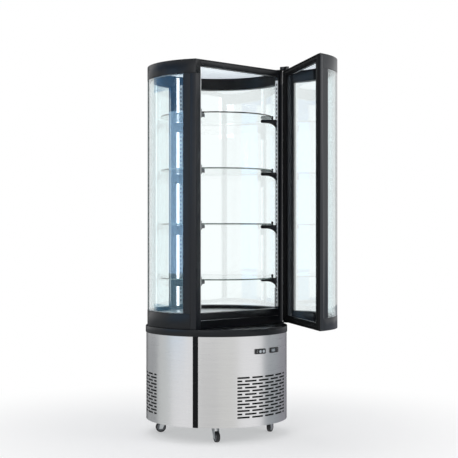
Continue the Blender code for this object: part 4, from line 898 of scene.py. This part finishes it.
# Stroke and ring on the rocker, which follows its tilt of 8 degrees.
rocker_x, rocker_tilt, rocker_rise, mark_reach, mark_front = -0.0205, 8.0, 0.003, 0.0035, -0.0037
stroke = skin([[(x, mark_front + y, mark_reach + z) for x, z in bar(0.0, 0.0, 0.0008, 0.0030)]
               for y in (-mark_half, mark_half)])
turns = [radians(a) for a in range(0, 360, 30)]
ring = skin([[(r * cos(a), mark_front + y, r * sin(a) - mark_reach) for a in turns] for r, y in (
    (0.0010, -mark_half), (0.0017, -mark_half), (0.0017, mark_half), (0.0010, mark_half))], False)
rocker_marks = merged([stroke, ring])
rocker_place = (rocker_x, rocker_rise - control_front, control_height)
rocker_marks.transform(plate_turn @ Matrix.Translation(rocker_place) @ spin(rocker_tilt, "X"))
put("rocker_marks", rocker_marks, "switch", (), printed_white)

# Sill trim. A thin strip of extruded aluminium with rounded edges, polished and cut to the sill's
# length, is clipped along the step at the sill's foot.
# Polished aluminium: bright, drawn along its length.
polished_aluminium = finish("polished_aluminium", (90, 1.5, 1.5), "#d5d8da", "#e4e6e8", (0.14, 0.22),
                            metal=1.0)
trim_half = 0.2562
trim_section = ((-0.1640, 0.5564), (-0.1654, 0.5564), (-0.1659, 0.5569), (-0.1659, 0.5583),
                (-0.1654, 0.5588), (-0.1640, 0.5588))
trim = skin([[(x, y, z) for y, z in trim_section] for x in (-trim_half, trim_half)])
put("sill_trim", trim, "case", (), polished_aluminium)

# Door. Its flat coated frame carries curved stiles and a cap and a foot with curved bands; the
# bent double glazing stands between them, and a soft gasket is pressed into the frame's back.
pivot = Vector((0.28752, -0.170, 0.0))
door_angle = 59.2
door_turn = Matrix.Translation(pivot) @ spin(door_angle) @ Matrix.Translation(-pivot)
# The door's bent shell has a glossier coat than its flat back, so it mirrors more of the room; its
# bluer, paler base colour is painted sheen, a lit copy of the black coat.
shell_coat_painted_sheen = finish("satin_black_powder_coat_painted_sheen", (1.5, 1.5, 1.5), "#13181e", "#1b2027", (0.28, 0.36),
                    0.00002, gloss=0.42)
door_back = Vector((-sin(radians(door_angle)), cos(radians(door_angle)), 0.0))
facing_back = 0.9
for node, ease in (("door_frame", 0.0009), ("door_top", 0.0012), ("door_bottom", 0.0012)):
    shell = eased(node, ease)
    shell.materials.clear()
    shell.materials.append(shell_coat_painted_sheen)
    shell.materials.append(matt_coat)
    for side in shell.polygons:
        side.material_index = 1 if side.normal.dot(door_back) > facing_back else 0
    put(node + "_coated", shell, "door", [node], sharp=0)
door_glass_half = 47.69
door_sizes = (0.5803, 1.6877, -door_glass_half, door_glass_half)
for name, unit, slot, nodes, paint in (
        ("door_panes", panes(*door_sizes), "clear_glass", ["door_glass"], None),
        ("door_spacer", spacer(*door_sizes), "black_plastic", (), spacer_bar)):
    unit.transform(door_turn)
    put(name, unit, "door", nodes, paint)
# White sheet liners close the cap from below and the foot from above, behind the flat frame; they carry
# the same painted glow as the ceiling.
liner_radius, liner_front, liner_wall, liner_steps = 0.3012, -0.1936, 0.0008, 24
liner_half = acos(-liner_front / liner_radius)
liner_turns = [liner_half * k / liner_steps for k in range(-liner_steps, liner_steps + 1)]
liner_plan = [(liner_radius * sin(a), -liner_radius * cos(a)) for a in liner_turns]
for name, low in (("door_liner_top", 1.7409), ("door_liner_bottom", 0.5333)):
    sheet = upright(liner_plan, low, low + liner_wall)
    sheet.transform(door_turn)
    put(name, sheet, "door", (), painted_glow_liner)

# Gasket. Soft rubber is extruded with a flat foot, a bellows of two ribs and a bulb that meets the
# tower's frame, welded at the corners and pressed into the back of the door's frame.
gasket_half, gasket_low, gasket_high, gasket_back = 0.28125, 0.528, 1.747, -0.1737
gasket_profile = (
    (0.0, 0.0), (0.031, 0.0), (0.031, 0.0016), (0.0275, 0.0020), (0.0265, 0.0052), (0.0240, 0.0052),
    (0.0230, 0.0026), (0.0205, 0.0026), (0.0195, 0.0070), (0.0180, 0.0074), (0.0100, 0.0074),
    (0.0085, 0.0070), (0.0075, 0.0026), (0.0055, 0.0026), (0.0045, 0.0068), (0.0032, 0.0074),
    (0.0008, 0.0074), (0.0, 0.0068))
gasket = skin([[(x * (gasket_half - across), gasket_back + out, z) for x, z in (
    (-1, gasket_low + across), (1, gasket_low + across), (1, gasket_high - across),
    (-1, gasket_high - across))] for across, out in gasket_profile], False)
gasket.transform(door_turn)
# Soft EPDM rubber: matt black.
soft_rubber = finish("epdm_rubber", (5, 5, 5), "#0e0f10", "#151617", (0.62, 0.76), 0.00004, index=1.52,
                     gloss=0.12)
put("gasket", gasket, "door", ["door_gasket"], soft_rubber, sharp=20.0)

# Hinge fin. A thin strip of soft PVC is clipped along the door's hinge side and hides the gap
# between the door and the post.
fin_low, fin_high = 0.530, 1.745
fin_plan = ((0.2805, -0.1687), (0.2850, -0.1687), (0.2853, -0.1680), (0.2853, -0.1666),
            (0.2850, -0.1663), (0.2805, -0.1663))
fin = upright(fin_plan, fin_low, fin_high)
fin.transform(door_turn)
put("gasket_fin", fin, "door", (), black_pvc, sharp=20.0)

# Hinges. A coated steel leaf with a welded pin is screwed on the cap, and one on the ring under
# the door's foot. The door turns between the two pins.
for node in ("hinge_leaf_upper", "hinge_leaf_lower"):
    put(node + "_coated", eased(node, 0.0006), "case", [node], black_coat,
        sharp=0)
